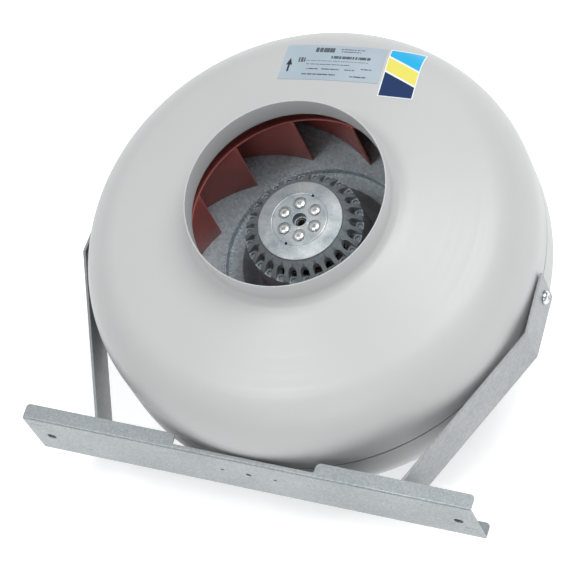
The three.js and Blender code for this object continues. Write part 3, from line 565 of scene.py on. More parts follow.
def prism(name, outline, bottom, top, place=TO_FAN, sharp=35.0):
    """A flat outline of (x, y) pushed from one height to another."""
    count = len(outline)
    corners = [(x, y, z) for z in (bottom, top) for x, y in outline]
    faces = [tuple(range(count))[::-1], tuple(range(count, 2 * count))]
    faces += [(i, (i + 1) % count, count + (i + 1) % count, count + i) for i in range(count)]
    return to_object(name, corners, faces, place, sharp)

# %% [markdown]
# Some pieces need a cut, a joint or a rounded edge. Each of these is a modifier that is set up, applied
# at once and tidied, so that the next step starts from a plain mesh again.

# %% Cutting, rounding and dressing
def applied(made):
    """Bakes an object's modifiers into its mesh."""
    bpy.context.view_layer.update()
    graph = bpy.context.evaluated_depsgraph_get()
    made.data = bpy.data.meshes.new_from_object(made.evaluated_get(graph), depsgraph=graph)
    made.modifiers.clear()
    return made


def carve(made, cutters, sharp=35.0):
    """Cuts other objects out of one, and removes them."""
    for cutter in cutters:
        step = made.modifiers.new("cut", "BOOLEAN")
        step.operation = "DIFFERENCE"
        step.solver = "EXACT"
        step.object = cutter
    applied(made)
    for cutter in cutters:
        bpy.data.objects.remove(cutter)
    tidy(made, sharp)
    return made


def merged(name, parts):
    """Several separate shapes as one object, for one cut."""
    work = bmesh.new()
    for part in parts:
        work.from_mesh(part.data)
    mesh = bpy.data.meshes.new(name)
    work.to_mesh(mesh)
    work.free()
    for part in parts:
        bpy.data.objects.remove(part)
    made = bpy.data.objects.new(name, mesh)
    bpy.context.scene.collection.objects.link(made)
    return made


def soften(made, width, steps=2, angle=40.0):
    """Rounds the sharp edges a little, so that they catch the light."""
    step = made.modifiers.new("edge", "BEVEL")
    step.width = width * MM
    step.segments = steps
    step.limit_method = "ANGLE"
    step.angle_limit = math.radians(angle)
    step.use_clamp_overlap = True
    applied(made)
    tidy(made, 50.0)
    return made


def even(made):
    """Lets the large faces of a piece keep their own direction, so that only its rounded edges shade."""
    made.modifiers.new("even", "WEIGHTED_NORMAL").keep_sharp = True
    return made


def dress(made, body, slot, nodes=(), material=None):
    """Gives a piece its finish, the body it moves with, and the solids it stands for."""
    made.data.materials.clear()
    made.data.materials.append(material or FINISHES[slot])
    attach(made, body)
    if nodes:
        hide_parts(*nodes)
    return made


def spaced(count, start=0.0):
    """Equal steps round a circle, in radians."""
    return [start + 2 * math.pi * i / count for i in range(count)]


def polar(radius, angle, height=0.0):
    return Vector((radius * math.cos(angle), radius * math.sin(angle), height))

# %% [markdown]
# ## The two shells
#
# Each shell is spun from one disc of steel: a straight band at the seam, a corner of 45 mm, a flat cone
# and a short collar that the duct slides over. The corner and the small hollow at the foot of the
# collar are true arcs, so the profile is built from those two arcs and the straight line between them.

# %% Shell profile
SHELL_WALL = 1.0
BAND_HALF = 20.0
CORNER_RADIUS = 45.0
FACE_SLOPE = math.radians(14.4)
COLLAR_RADIUS = 75.0
COLLAR_FILLET = 8.0
SEAM_GAP = 1.8
LAP_WALL = 1.3
LAP_LENGTH = 8.0
GAP = 0.3
CORNER_CENTRE = (HOUSING_RADIUS - CORNER_RADIUS, BAND_HALF)
CONE_START = arc(CORNER_CENTRE, CORNER_RADIUS, math.pi / 2 - FACE_SLOPE, 0, 1)[0]


def cone_height(radius):
    """Height of the outer face of the cone over the seam, at a radius."""
    return CONE_START[1] + (CONE_START[0] - radius) * math.tan(FACE_SLOPE)


FILLET_CENTRE = (
    COLLAR_RADIUS + COLLAR_FILLET,
    cone_height(COLLAR_RADIUS + COLLAR_FILLET) + COLLAR_FILLET / math.cos(FACE_SLOPE),
)


def face_height(radius):
    """Height of the outer face at any radius outside the collar's foot."""
    if radius <= CONE_START[0]:
        return cone_height(radius)
    across = min(radius - CORNER_CENTRE[0], CORNER_RADIUS)
    return CORNER_CENTRE[1] + math.sqrt(CORNER_RADIUS**2 - across**2)


def shell_line(depth):
    """The line from the top of the band to the foot of the collar, at a depth under the outer face."""
    corner = arc(CORNER_CENTRE, CORNER_RADIUS - depth, 0, math.pi / 2 - FACE_SLOPE, 22)
    foot = arc(FILLET_CENTRE, COLLAR_FILLET + depth, 1.5 * math.pi - FACE_SLOPE, math.pi, 10)
    cone = [
        tuple(Vector(corner[-1]).lerp(Vector(foot[0]), i / 6)) for i in range(1, 6)
    ]
    return corner + cone + foot


def shell_profile(edge):
    """The closed section of a shell: seam edge, outside, rounded rim, inside."""
    middle = COLLAR_RADIUS - SHELL_WALL / 2
    rim = arc((middle, HALF_LENGTH - SHELL_WALL / 2), SHELL_WALL / 2, 0, math.pi, 6)
    return [*edge, *shell_line(0.0), *rim, *reversed(shell_line(SHELL_WALL))]


print("cone from radius", round(CONE_START[0], 1), "height", round(CONE_START[1], 1), "mm")

# %% [markdown]
# The rear shell has a lap: its edge steps inwards and reaches past the seam, the front shell slides over it,
# and a black seal fills the slit between them. Its near-black is partly the seal's own rubber and partly
# painted shade for the dark of the deep slit. So the two shells share one line from the corner to the collar
# and differ only in their edge. The rear one is turned over.

# %% Front and rear shell
inside = HOUSING_RADIUS - SHELL_WALL
half_gap = SEAM_GAP / 2
EDGE_ROUND = 0.3
front_edge = [
    (inside, half_gap + EDGE_ROUND),
    (inside + EDGE_ROUND, half_gap),
    (HOUSING_RADIUS - EDGE_ROUND, half_gap),
    (HOUSING_RADIUS, half_gap + EDGE_ROUND),
]
lap_out = inside - GAP
lap_in = lap_out - LAP_WALL
rear_edge = [
    (inside, half_gap + 5 + LAP_WALL),
    (lap_in, half_gap + 5),
    (lap_in, -LAP_LENGTH),
    (lap_out, -LAP_LENGTH),
    (lap_out, half_gap),
    (HOUSING_RADIUS - EDGE_ROUND, half_gap),
    (HOUSING_RADIUS, half_gap + EDGE_ROUND),
]
SHELL_STEPS = 256
OVER = TO_FAN @ Matrix.Rotation(math.pi, 4, "X")
front_shell = lathe("front_shell_spun", shell_profile(front_edge), SHELL_STEPS)
dress(front_shell, "housing", "powder_coat", ["front_shell"])
rear_shell = lathe("rear_shell_spun", shell_profile(rear_edge), SHELL_STEPS, OVER)
dress(rear_shell, "housing", "powder_coat", ["rear_shell"])
seal_half = half_gap - 0.3
seal_profile = [
    (lap_out + GAP, -seal_half),
    (HOUSING_RADIUS - 0.6, -seal_half),
    (HOUSING_RADIUS - 0.4, 0.0),
    (HOUSING_RADIUS - 0.6, seal_half),
    (lap_out + GAP, seal_half),
]
dress(lathe("seam_seal_ring", seal_profile, SHELL_STEPS), "housing", "black_rubber", ["seam_seal"])
print("shell faces:", len(front_shell.data.polygons), len(rear_shell.data.polygons))

# %% [markdown]
# ## Labels
#
# Two labels are stuck to the upper part of the front face. They are thin films, so each is a fine grid
# laid on the curved face and thickened. What is printed on them is kept plain: an air-flow arrow, ruled
# fields and grey bars on one, slanted bands of colour on the other.

# %% Label grids
LABEL_TURN = math.radians(7)
LABEL_LIFT = 0.12
LABEL_THICKNESS = 0.22
RATING_SIZE = (77.0, 34.0)
RATING_CENTRE = Vector((-12.5, 125.5))
STICKER_SIZE = (26.0, 46.0)
STICKER_CENTRE = Vector((41.5, 126.5))


def label_sheet(name, size, centre, cells):
    """A thin film over the face: two grids of corners, joined round their edge."""
    turn = Matrix.Rotation(LABEL_TURN, 2)
    across, up = cells
    corners = []
    for lift in (LABEL_LIFT, LABEL_LIFT + LABEL_THICKNESS):
        for j in range(up + 1):
            for i in range(across + 1):
                spot = centre + turn @ Vector(((i / across - 0.5) * size[0], (j / up - 0.5) * size[1]))
                corners.append((spot.x, spot.y, face_height(spot.length) + lift))
    layer = (across + 1) * (up + 1)
    at = lambda i, j, k: k * layer + j * (across + 1) + i
    faces = [
        (at(i, j, k), at(i + 1, j, k), at(i + 1, j + 1, k), at(i, j + 1, k))
        for k in (0, 1) for j in range(up) for i in range(across)
    ]
    ring = [(i, 0) for i in range(across)] + [(across, j) for j in range(up)]
    ring += [(i, up) for i in range(across, 0, -1)] + [(0, j) for j in range(up, 0, -1)]
    for (i, j), (m, n) in zip(ring, ring[1:] + ring[:1]):
        faces.append((at(i, j, 0), at(m, n, 0), at(m, n, 1), at(i, j, 1)))
    return to_object(name, corners, faces)

# %% [markdown]
# The print is a network that knows where it is on the label. `label_place` gives millimetres across and
# up from the label's middle, and `patch` is white inside a rectangle and black outside it.

# %% Printed finishes
def label_place(tree, centre):
    """Millimetres across and up from a label's middle."""
    place = add(tree, "ShaderNodeTexCoord").outputs["Object"]
    part = add(tree, "ShaderNodeSeparateXYZ", Vector=place).outputs
    x = calc(tree, "MULTIPLY", calc(tree, "SUBTRACT", part["X"], FAN.x + centre.x * MM), 1 / MM)
    y = calc(tree, "MULTIPLY", calc(tree, "SUBTRACT", part["Y"], FAN.y + centre.y * MM), 1 / MM)
    c, s = math.cos(LABEL_TURN), math.sin(LABEL_TURN)
    across = calc(tree, "ADD", calc(tree, "MULTIPLY", x, c), calc(tree, "MULTIPLY", y, s))
    up = calc(tree, "SUBTRACT", calc(tree, "MULTIPLY", y, c), calc(tree, "MULTIPLY", x, s))
    return across, up


def within(tree, value, middle, reach):
    """1 where a value lies within a reach of a middle, 0 elsewhere."""
    return calc(tree, "LESS_THAN", calc(tree, "ABSOLUTE", calc(tree, "SUBTRACT", value, middle)), reach)


def patch(tree, across, up, middle, size):
    """1 inside a rectangle, 0 outside."""
    inside_x = within(tree, across, middle[0], size[0] / 2)
    inside_y = within(tree, up, middle[1], size[1] / 2)
    return calc(tree, "MULTIPLY", inside_x, inside_y)


RATING_BARS = [
    # middle across, middle up, width, height
    (-8.0, 12.0, 15.0, 4.4),
    (13.0, 13.2, 18.0, 0.9),
    (12.0, 10.9, 15.0, 0.9),
    (13.0, 5.2, 30.0, 2.6),
    (2.0, 1.4, 50.0, 0.5),
    (-3.0, -2.0, 34.0, 0.7),
    (-14.0, -6.5, 9.0, 1.1),
    (0.0, -6.5, 14.0, 1.1),
    (15.0, -6.5, 8.0, 1.1),
    (27.0, -5.0, 8.0, 1.1),
    (-8.0, -11.8, 26.0, 1.2),
    (22.0, -12.6, 13.0, 1.2),
    (-24.0, 2.0, 5.2, 4.6),
]
ARROW_MIDDLE = (-33.0, -3.0)
INK_COLOUR = (0.03, 0.035, 0.045, 1)


def flow_arrow(tree, across, up):
    """An arrow that points up the label: a shaft, and a head that narrows towards its tip."""
    x, y = ARROW_MIDDLE
    shaft = patch(tree, across, up, (x, y - 3.0), (1.5, 7.0))
    under_tip = calc(tree, "SUBTRACT", y + 6.5, up)
    wide = within(tree, across, x, calc(tree, "MULTIPLY", under_tip, 0.36))
    head = calc(tree, "MULTIPLY", wide, patch(tree, across, up, (x, y + 3.2), (9.0, 6.6)))
    return calc(tree, "MAXIMUM", shaft, head)


def rating_film():
    """Silver-blue film, grey bars where the data would be, and an arrow for the air flow."""
    made = Finish("rating_film", roughness=0.3, metallic=0.25)
    tree = made.tree
    across, up = label_place(tree, RATING_CENTRE)
    ink = None
    for x, y, width, height in RATING_BARS:
        bar = patch(tree, across, up, (x, y), (width, height))
        ink = bar if ink is None else calc(tree, "MAXIMUM", ink, bar)
    broken = add(tree, "ShaderNodeTexNoise", {"noise_dimensions": "1D"}, W=across, Scale=0.9, Detail=1.0)
    gaps = spread(tree, broken.outputs["Fac"], 0.36, 0.44)
    ink = calc(tree, "MULTIPLY", calc(tree, "MULTIPLY", ink, gaps), 0.82)
    ink = calc(tree, "MAXIMUM", ink, flow_arrow(tree, across, up))
    mottle = made.effect("soft_mottle", Dark=(0.43, 0.52, 0.59, 1), Light=(0.52, 0.6, 0.66, 1),
                         Cloud_Scale=25.0, Grain_Scale=1500.0, Grain_Share=0.2)
    made.feed("Base Color", mix(tree, ink, mottle["Color"], INK_COLOUR))
    made.bump(mottle["Height"], 0.1, 0.00003)
    return made.material


BAND_EDGES = -5.0, 9.0
BAND_LINE, BAND_BORDER = 1.6, 0.8
NAVY, PALE_YELLOW, SKY_BLUE = (0.008, 0.03, 0.11, 1), (0.77, 0.70, 0.13, 1), (0.012, 0.42, 0.75, 1)
FILM_WHITE = (0.8, 0.84, 0.86, 1)


def banded_film():
    """Slanted bands of sky blue, pale yellow and navy, parted by white lines."""
    made = Finish("banded_film", roughness=0.32)
    tree = made.tree
    across, up = label_place(tree, STICKER_CENTRE)
    slant = calc(tree, "ADD", up, calc(tree, "MULTIPLY", across, 0.5))
    low, high = BAND_EDGES
    colour = mix(tree, calc(tree, "GREATER_THAN", slant, low), NAVY, PALE_YELLOW)
    colour = mix(tree, calc(tree, "GREATER_THAN", slant, high), colour, SKY_BLUE)
    line = calc(tree, "MAXIMUM", *(within(tree, slant, at, BAND_LINE / 2) for at in BAND_EDGES))
    printed = [side - 2 * BAND_BORDER for side in STICKER_SIZE]
    border = calc(tree, "SUBTRACT", 1.0, patch(tree, across, up, (0, 0), printed))
    made.feed("Base Color", mix(tree, calc(tree, "MAXIMUM", line, border), colour, FILM_WHITE))
    mottle = made.effect("soft_mottle", Cloud_Scale=30.0, Grain_Scale=1500.0)
    made.bump(mottle["Height"], 0.1, 0.00003)
    return made.material

# %% [markdown]
# Each film gets its own print.

# %% Labels in place
dress(label_sheet("rating_label_film", RATING_SIZE, RATING_CENTRE, (40, 18)), "housing", "silver_foil",
      ["rating_label"], rating_film())
dress(label_sheet("colour_sticker_film", STICKER_SIZE, STICKER_CENTRE, (14, 24)), "housing", "printed_film",
      ["colour_sticker"], banded_film())
print("labels laid on the front face")

# %% [markdown]
# ## Impeller
#
# Eleven blades lean back from the direction of turning. Seen from above, each follows a curve that
# keeps the same angle to the rim all the way out, a logarithmic spiral. Its height falls towards the
# outlet, because the shroud above it curves down, so a blade is a strip of quads between the back plate
# and the shroud's own height.

# %% Impeller sizes
IMPELLER_RADIUS = 125.0
BLADE_COUNT = 11
BLADE_START = math.radians(111.3)
BLADE_INLET, BLADE_OUTLET = 81.0, 123.0
BLADE_ANGLE = math.radians(29)
BLADE_THICKNESS = 1.6
EYE_RADIUS, EYE_HEIGHT, TIP_HEIGHT = 81.5, 59.8, 42.0
PLATE = 1.5
STEP_RADIUS, STEP_DEPTH = 71.7, 6.0
HUB_HOLE = 47.0


def shroud_height(radius):
    """Underside of the shroud over a radius."""
    share = max(IMPELLER_RADIUS - max(radius, EYE_RADIUS), 0) / (IMPELLER_RADIUS - EYE_RADIUS)
    return TIP_HEIGHT + (EYE_HEIGHT - TIP_HEIGHT) * share**1.5


print("shroud height at eye and rim:", [shroud_height(r) for r in (EYE_RADIUS, IMPELLER_RADIUS)], "mm")

# %% [markdown]
# A blade is a grid of stations along the spiral and levels up its height. The middle line gives each
# station, and half the thickness to either side gives the two walls. One blade is worked out at angle 0,
# and all eleven are the same corners turned.

# %% Blades
BLADE_STATIONS = 26
BLADE_LEVELS = 5


def blade_mesh():
    """Corners and faces of one blade at angle 0: a closed box of quads along the spiral."""
    growth = math.tan(BLADE_ANGLE)
    sweep = math.log(BLADE_OUTLET / BLADE_INLET) / growth
    corners = []
    for i in range(BLADE_STATIONS):
        angle = sweep * i / (BLADE_STATIONS - 1)
        radius = BLADE_INLET * math.exp(growth * angle)
        middle = polar(radius, angle)
        heading = angle + math.pi / 2 - BLADE_ANGLE
        side = Vector((-math.sin(heading), math.cos(heading), 0)) * BLADE_THICKNESS / 2
        for sign in (1, -1):
            for j in range(BLADE_LEVELS):
                spot = middle + sign * side
                top = shroud_height(spot.length) - GAP
                corners.append(spot + Vector((0, 0, GAP + (top - GAP) * j / (BLADE_LEVELS - 1))))
    at = lambda i, side, j: (i * 2 + side) * BLADE_LEVELS + j
    faces = []
    for i in range(BLADE_STATIONS - 1):
        for j in range(BLADE_LEVELS - 1):
            for side in (0, 1):
                faces.append((at(i, side, j), at(i + 1, side, j), at(i + 1, side, j + 1), at(i, side, j + 1)))
        for j in (0, BLADE_LEVELS - 1):
            faces.append((at(i, 0, j), at(i + 1, 0, j), at(i + 1, 1, j), at(i, 1, j)))
    for i in (0, BLADE_STATIONS - 1):
        for j in range(BLADE_LEVELS - 1):
            faces.append((at(i, 0, j), at(i, 1, j), at(i, 1, j + 1), at(i, 0, j + 1)))
    return corners, faces


def make_blades():
    corners, faces = blade_mesh()
    for number, angle in enumerate(spaced(BLADE_COUNT, BLADE_START), start=1):
        turn = TO_FAN @ Matrix.Rotation(angle, 4, "Z")
        blade = soften(to_object(f"blade_{number}_coated", corners, faces, turn, 60.0), 0.45)
        dress(blade, "impeller", "red_coat", [f"blade_{number}"])


make_blades()
print("blades:", BLADE_COUNT)

# %% [markdown]
# The shroud ends at the eye in a small rolled lip, and the back plate is pressed with a step that makes
# room for the rotor's flange. Pressed corners are never sharp, so every corner of both profiles is a
# short arc. `rounded` puts those arcs into a profile that is written with plain corners.

# %% Shroud and back plate
def rounded(profile, radius, steps=4):
    """A closed profile with each corner replaced by a short curve."""
    made = []
    count = len(profile)
    for i, corner in enumerate(profile):
        here = Vector(corner)
        before, after = Vector(profile[i - 1]) - here, Vector(profile[(i + 1) % count]) - here
        reach = min(radius, before.length * 0.45, after.length * 0.45)
        start, end = here + before.normalized() * reach, here + after.normalized() * reach
        for k in range(steps + 1):
            t = k / steps
            made.append(tuple(start.lerp(here, t).lerp(here.lerp(end, t), t)))
    return made


def make_shroud():
    radii = [EYE_RADIUS + (IMPELLER_RADIUS - EYE_RADIUS) * i / 14 for i in range(15)]
    under = [(r, shroud_height(r)) for r in radii]
    over = [(r, shroud_height(r) + PLATE) for r in reversed(radii)]
    lip_middle = (EYE_RADIUS + 0.2, EYE_HEIGHT + PLATE * 0.62)
    lip = arc(lip_middle, PLATE * 0.55, math.radians(80), math.radians(230), 6)
    profile = under[1:] + over[:-1] + lip
    dress(lathe("shroud_spun", profile, 176, sharp=50.0), "impeller", "red_coat", ["impeller_shroud"])


BACK_PLATE_PROFILE = [
    (HUB_HOLE, -STEP_DEPTH - PLATE),
    (STEP_RADIUS + PLATE, -STEP_DEPTH - PLATE),
    (STEP_RADIUS + PLATE, -PLATE),
    (IMPELLER_RADIUS, -PLATE),
    (IMPELLER_RADIUS, 0.0),
    (STEP_RADIUS, 0.0),
    (STEP_RADIUS, -STEP_DEPTH),
    (HUB_HOLE, -STEP_DEPTH),
]
make_shroud()
back_plate = lathe("back_plate_pressed", rounded(BACK_PLATE_PROFILE, 0.7), 240, sharp=60.0)
dress(back_plate, "impeller", "galvanised_steel", ["impeller_backplate"], back_plate_zinc(STEP_RADIUS))
print("back plate faces:", len(back_plate.data.polygons))

# %% [markdown]
# ## Rotor
#
# The rotor is the outside of the motor: a cast aluminium cup that turns round the windings. Its top is a
# pale machined disc. Outside it a dark cast shoulder slopes down to the side, and 26 cooling slots are
# milled into the shoulder, down to a ledge. Each ledge has a small blind hole for a balancing weight.
# The disc is bare metal and the shoulder keeps its dull casting skin, so they differ in metal as well.

# %% Rotor sizes
ROTOR_RADIUS = 44.5
ROTOR_TOP = 60.0
CUP_RADIUS, CUP_TOP = 40.0, 50.0
DISC_RADIUS = 31.7
SHOULDER_FOOT = ROTOR_TOP - 14.5
LEDGE = SHOULDER_FOOT - 1.2
SLOT_COUNT = 26
SLOT_WIDTH = 6.4
SLOT_INNER = ROTOR_RADIUS - 8.9
BALANCE_CIRCLE, BALANCE_RADIUS, BALANCE_DEPTH = ROTOR_RADIUS - 2.7, 2.2, 1.6
FLANGE_RADIUS = 59.0
FLANGE_TOP, FLANGE_BOTTOM = -0.5, -5.7
RIVET_COUNT, RIVET_CIRCLE, RIVET_START = 6, 13.1, math.radians(105.9)
SEAT_RADIUS, SEAT_DEPTH = 5.1, 1.2
PIN_CIRCLE, PIN_ANGLE, PIN_RADIUS, PIN_DEPTH = 20.8, math.radians(79), 1.15, 8.0
CENTRE_HOLE = 5.2
SHAFT_RADIUS = 4.0
print("slots:", SLOT_COUNT, "with ledges at height", round(LEDGE, 1), "mm")

# %% [markdown]
# One casting has two looks, since the lathe cut the disc bright and left the shoulder dark. The finish
# tells them apart by their distance from the axis and by their height. Neither changes as the rotor turns.

# %% Rotor finish
LEDGE_SHINE = 0.3


def rotor_cast():
    """Bright on the machined disc, a little on the ledges, and dark cast grey on the shoulder."""
    made = Finish("rotor_cast_metal")
    tree = made.tree
    rings = made.effect("turned_rings", Ring_Scale=900.0)
    bright = made.effect("soft_mottle", Dark=(0.24, 0.29, 0.33, 1), Light=(0.64, 0.65, 0.64, 1),
                         Cloud_Scale=75.0, Grain_Scale=900.0, Grain_Share=0.35)
    dark = made.effect("soft_mottle", Dark=(0.13, 0.155, 0.17, 1), Light=(0.30, 0.34, 0.36, 1),
                       Cloud_Scale=200.0, Grain_Scale=1400.0, Grain_Share=0.6)
    place = add(tree, "ShaderNodeTexCoord").outputs["Object"]
    height = add(tree, "ShaderNodeSeparateXYZ", Vector=place).outputs["Z"]
    disc = calc(tree, "LESS_THAN", rings["Radius"], (DISC_RADIUS + 0.2) * MM)
    low = calc(tree, "LESS_THAN", height, FAN.z + (LEDGE + 0.25) * MM)
    outer = calc(tree, "GREATER_THAN", rings["Radius"], (CUP_RADIUS - 0.5) * MM)
    above = calc(tree, "GREATER_THAN", height, FAN.z + (LEDGE - 0.4) * MM)
    ledge = calc(tree, "MULTIPLY", calc(tree, "MULTIPLY", low, outer), above)
    machined = calc(tree, "MAXIMUM", disc, calc(tree, "MULTIPLY", ledge, LEDGE_SHINE))
    made.feed("Metallic", spread(tree, machined, 0.0, 1.0, 0.3, 0.85))
    made.feed("Base Color", mix(tree, machined, dark["Color"], bright["Color"]))
    made.feed("Roughness", spread(tree, bright["Cloud"], 0.0, 1.0, 0.6, 0.44))
    made.bump(calc(tree, "ADD", calc(tree, "MULTIPLY", rings["Height"], 0.6), dark["Height"]), 0.35, 0.0001)
    return made.material

# %% [markdown]
# The cup is a turned profile, hollow below for the windings. The slots are cut all at once. Then every
# edge gets a small bevel, which is what makes the rims shine.

# %% Rotor cup
ROTOR_PROFILE = [
    (CENTRE_HOLE, ROTOR_TOP),
    (PIN_CIRCLE - 0.45, ROTOR_TOP - 0.15),
    (PIN_CIRCLE, ROTOR_TOP - 0.55),
    (PIN_CIRCLE + 0.45, ROTOR_TOP - 0.2),
    (DISC_RADIUS, ROTOR_TOP - 1.8),
    (DISC_RADIUS + 0.5, ROTOR_TOP - 3),
    (ROTOR_RADIUS - 1.5, SHOULDER_FOOT + 1.5),
    (ROTOR_RADIUS, SHOULDER_FOOT),
    (ROTOR_RADIUS, FLANGE_TOP + 4),
    (ROTOR_RADIUS + 1.5, FLANGE_TOP),
    (FLANGE_RADIUS, FLANGE_TOP),
    (FLANGE_RADIUS, FLANGE_BOTTOM),
    (CUP_RADIUS, FLANGE_BOTTOM),
    (CUP_RADIUS, LEDGE - 2.5),
    (SLOT_INNER - 1, CUP_TOP),
    (SHAFT_RADIUS + GAP, CUP_TOP),
    (SHAFT_RADIUS + GAP, CUP_TOP + 4),
    (CENTRE_HOLE, CUP_TOP + 4),
]


def slot_outline():
    """A slot along X, round at its inner end and open at the side."""
    half = SLOT_WIDTH / 2
    inner = arc((SLOT_INNER + half, 0), half, math.pi / 2, 1.5 * math.pi, 12)
    return [(ROTOR_RADIUS + 1, -half), (ROTOR_RADIUS + 1, half), *inner]


def cylinder(radius, bottom, top, place=TO_FAN, steps=32):
    return prism("cutter", [tuple(polar(radius, a).xy) for a in spaced(steps)], bottom, top, place)


def on_circle(radius, angle):
    """A place in the fan's own millimetres, turned to face outwards."""
    return TO_FAN @ Matrix.Rotation(angle, 4, "Z") @ Matrix.Translation((radius, 0, 0))


def turned(angle):
    return TO_FAN @ Matrix.Rotation(angle, 4, "Z")


def make_rotor():
    rotor = lathe("rotor_cast", rounded(ROTOR_PROFILE, 0.5, 2), 208, sharp=40.0)
    around = spaced(SLOT_COUNT)
    slots = [prism("slot", slot_outline(), LEDGE, ROTOR_TOP + 1, turned(a)) for a in around]
    holes = [cylinder(BALANCE_RADIUS, LEDGE - BALANCE_DEPTH, LEDGE + 1, on_circle(BALANCE_CIRCLE, a), 20)
             for a in around]
    seats = [cylinder(SEAT_RADIUS, ROTOR_TOP - SEAT_DEPTH, ROTOR_TOP + 2, on_circle(RIVET_CIRCLE, a))
             for a in spaced(RIVET_COUNT, RIVET_START)]
    pins = [cylinder(PIN_RADIUS, ROTOR_TOP - PIN_DEPTH, ROTOR_TOP + 2, on_circle(PIN_CIRCLE, a), 16)
            for a in spaced(2, PIN_ANGLE)]
    carve(rotor, [merged("cuts", cuts) for cuts in (slots, holes, seats, pins)], 40.0)
    soften(rotor, 0.22, 1, 50.0)
    return dress(even(rotor), "impeller", "cast_aluminium", ["rotor"], rotor_cast())


rotor = make_rotor()
print("rotor faces:", len(rotor.data.polygons))

# %% [markdown]
# Six rivets hold the cup to the hub on the shaft. Each head is a low dome that sits in a shallow round seat,
# with the small stump that its mandrel leaves. The shaft ends in a finely grooved bore, and the whole shaft
# is coloured near-black as painted shade, so that its end reads as a dark hole.

# %% Rotor rivets, shaft and hub screws
RIVET_HEAD = [(0.0, 2.0), (0.5, 1.95), (0.85, 1.55), (1.1, 1.25), (1.9, 1.35), (3.1, 1.05), (3.9, 0.45),
              (4.1, -0.9)]
HUB_BOTTOM = 46.3


def make_rotor_rivets():
    shank = [(2.1, -0.9), (2.1, HUB_BOTTOM - ROTOR_TOP), (3.2, HUB_BOTTOM - ROTOR_TOP - 0.3),
             (2.4, HUB_BOTTOM - ROTOR_TOP - 1.5), (0.0, HUB_BOTTOM - ROTOR_TOP - 1.5)]
    profile = [(r, ROTOR_TOP + z) for r, z in RIVET_HEAD + shank]
    for number, angle in enumerate(spaced(RIVET_COUNT, RIVET_START), start=1):
        rivet = lathe(f"rotor_rivet_{number}_set", profile, 32, on_circle(RIVET_CIRCLE, angle))
        dress(rivet, "impeller", "cast_aluminium", [f"rotor_rivet_{number}"], RIVET_METAL)


RIVET_METAL = cast_aluminium("rivet_metal", grey(0.55), grey(0.85), (0.25, 0.4))
make_rotor_rivets()


def make_shaft():
    """The shaft, with a chamfer at each end and grooves in its centre bore."""
    low, high = -14.5, 53.7
    bore_bottom, pitch = high - 6, 0.8
    bore = [(0.0, bore_bottom)]
    for step in range(7):
        bore += [(2.5, bore_bottom + step * pitch), (2.85, bore_bottom + (step + 0.5) * pitch)]
    profile = [*bore, (2.9, high - 0.2), (3.7, high), (SHAFT_RADIUS, high - 0.4), (SHAFT_RADIUS, low + 0.5),
               (3.5, low), (0.0, low)]
    # Near-black steel: painted shade, so that the shaft's end reads as a dark hole.
    shade_dark_steel = plain_metal("shaft_steel_shaded", grey(0.05), grey(0.12), 0.4)
    dress(lathe("shaft_ground", profile, 40), "impeller", "steel", ["shaft"], shade_dark_steel)


make_shaft()

# %% [markdown]
# Screws show as small bright heads. A pan head is a low dome with a cross recess, cut by two crossed
# prisms that narrow with depth. `screw` makes one about Z with its head downwards, as the motor's are.

# %% Screws
def cross_recess(radius, depth, place):
    """Two crossed tapered bars, for cutting into a head whose top is at height 0, facing down."""
    parts = []
    for quarter in (0, 1):
        half, reach = radius * 0.13, radius * 0.55
        corners = [(x * k, y * k2, z) for z, k, k2 in ((-0.5, 1.0, 1.0), (depth, 0.45, 0.6))
                   for x, y in ((-reach, -half), (reach, -half), (reach, half), (-reach, half))]
        faces = [(0, 1, 2, 3), (7, 6, 5, 4), (0, 1, 5, 4), (1, 2, 6, 5), (2, 3, 7, 6), (3, 0, 4, 7)]
        parts.append(to_object("bar", corners, faces, place @ Matrix.Rotation(quarter * math.pi / 2, 4, "Z")))
    return parts


# A pan head's shape, in shares of its radius and height
PAN_HEAD = [(0.0, 1.0), (0.45, 0.97), (0.75, 0.82), (0.93, 0.52), (1.0, 0.2), (1.0, 0.0)]


def screw(name, head_radius, head_height, shank_radius, length, place):
    """A pan-head screw from the face under its head at height 0: head down, shank up."""
    dome = [(head_radius * across, -head_height * up) for across, up in PAN_HEAD]
    shank = [(shank_radius, 0.0), (shank_radius, length - 0.5), (shank_radius - 0.5, length), (0.0, length)]
    made = lathe(name, dome + shank, 32, place, 50.0)
    top = place @ Matrix.Translation((0, 0, -head_height))
    return carve(made, cross_recess(head_radius, head_height * 0.7, top), 40.0)


PLATE_BOTTOM = -STEP_DEPTH - PLATE
STATOR_FLANGE_TOP, STATOR_FLANGE_BOTTOM = -12.0, -16.0
SUPPORT_TOP = STATOR_FLANGE_BOTTOM - GAP
SUPPORT_SHEET = 2.0
SUPPORT_BOTTOM = SUPPORT_TOP - SUPPORT_SHEET
MOTOR_SCREW_CIRCLE = 34.0
PLATE_SCREW_CIRCLE = ROTOR_RADIUS + 8.5
SMALL_SHANK = 2.1
SMALL_HOLE = SMALL_SHANK + GAP
LEAD_HOLE = 3.6
MOTOR_SCREW_ANGLES = spaced(3, math.pi / 6)


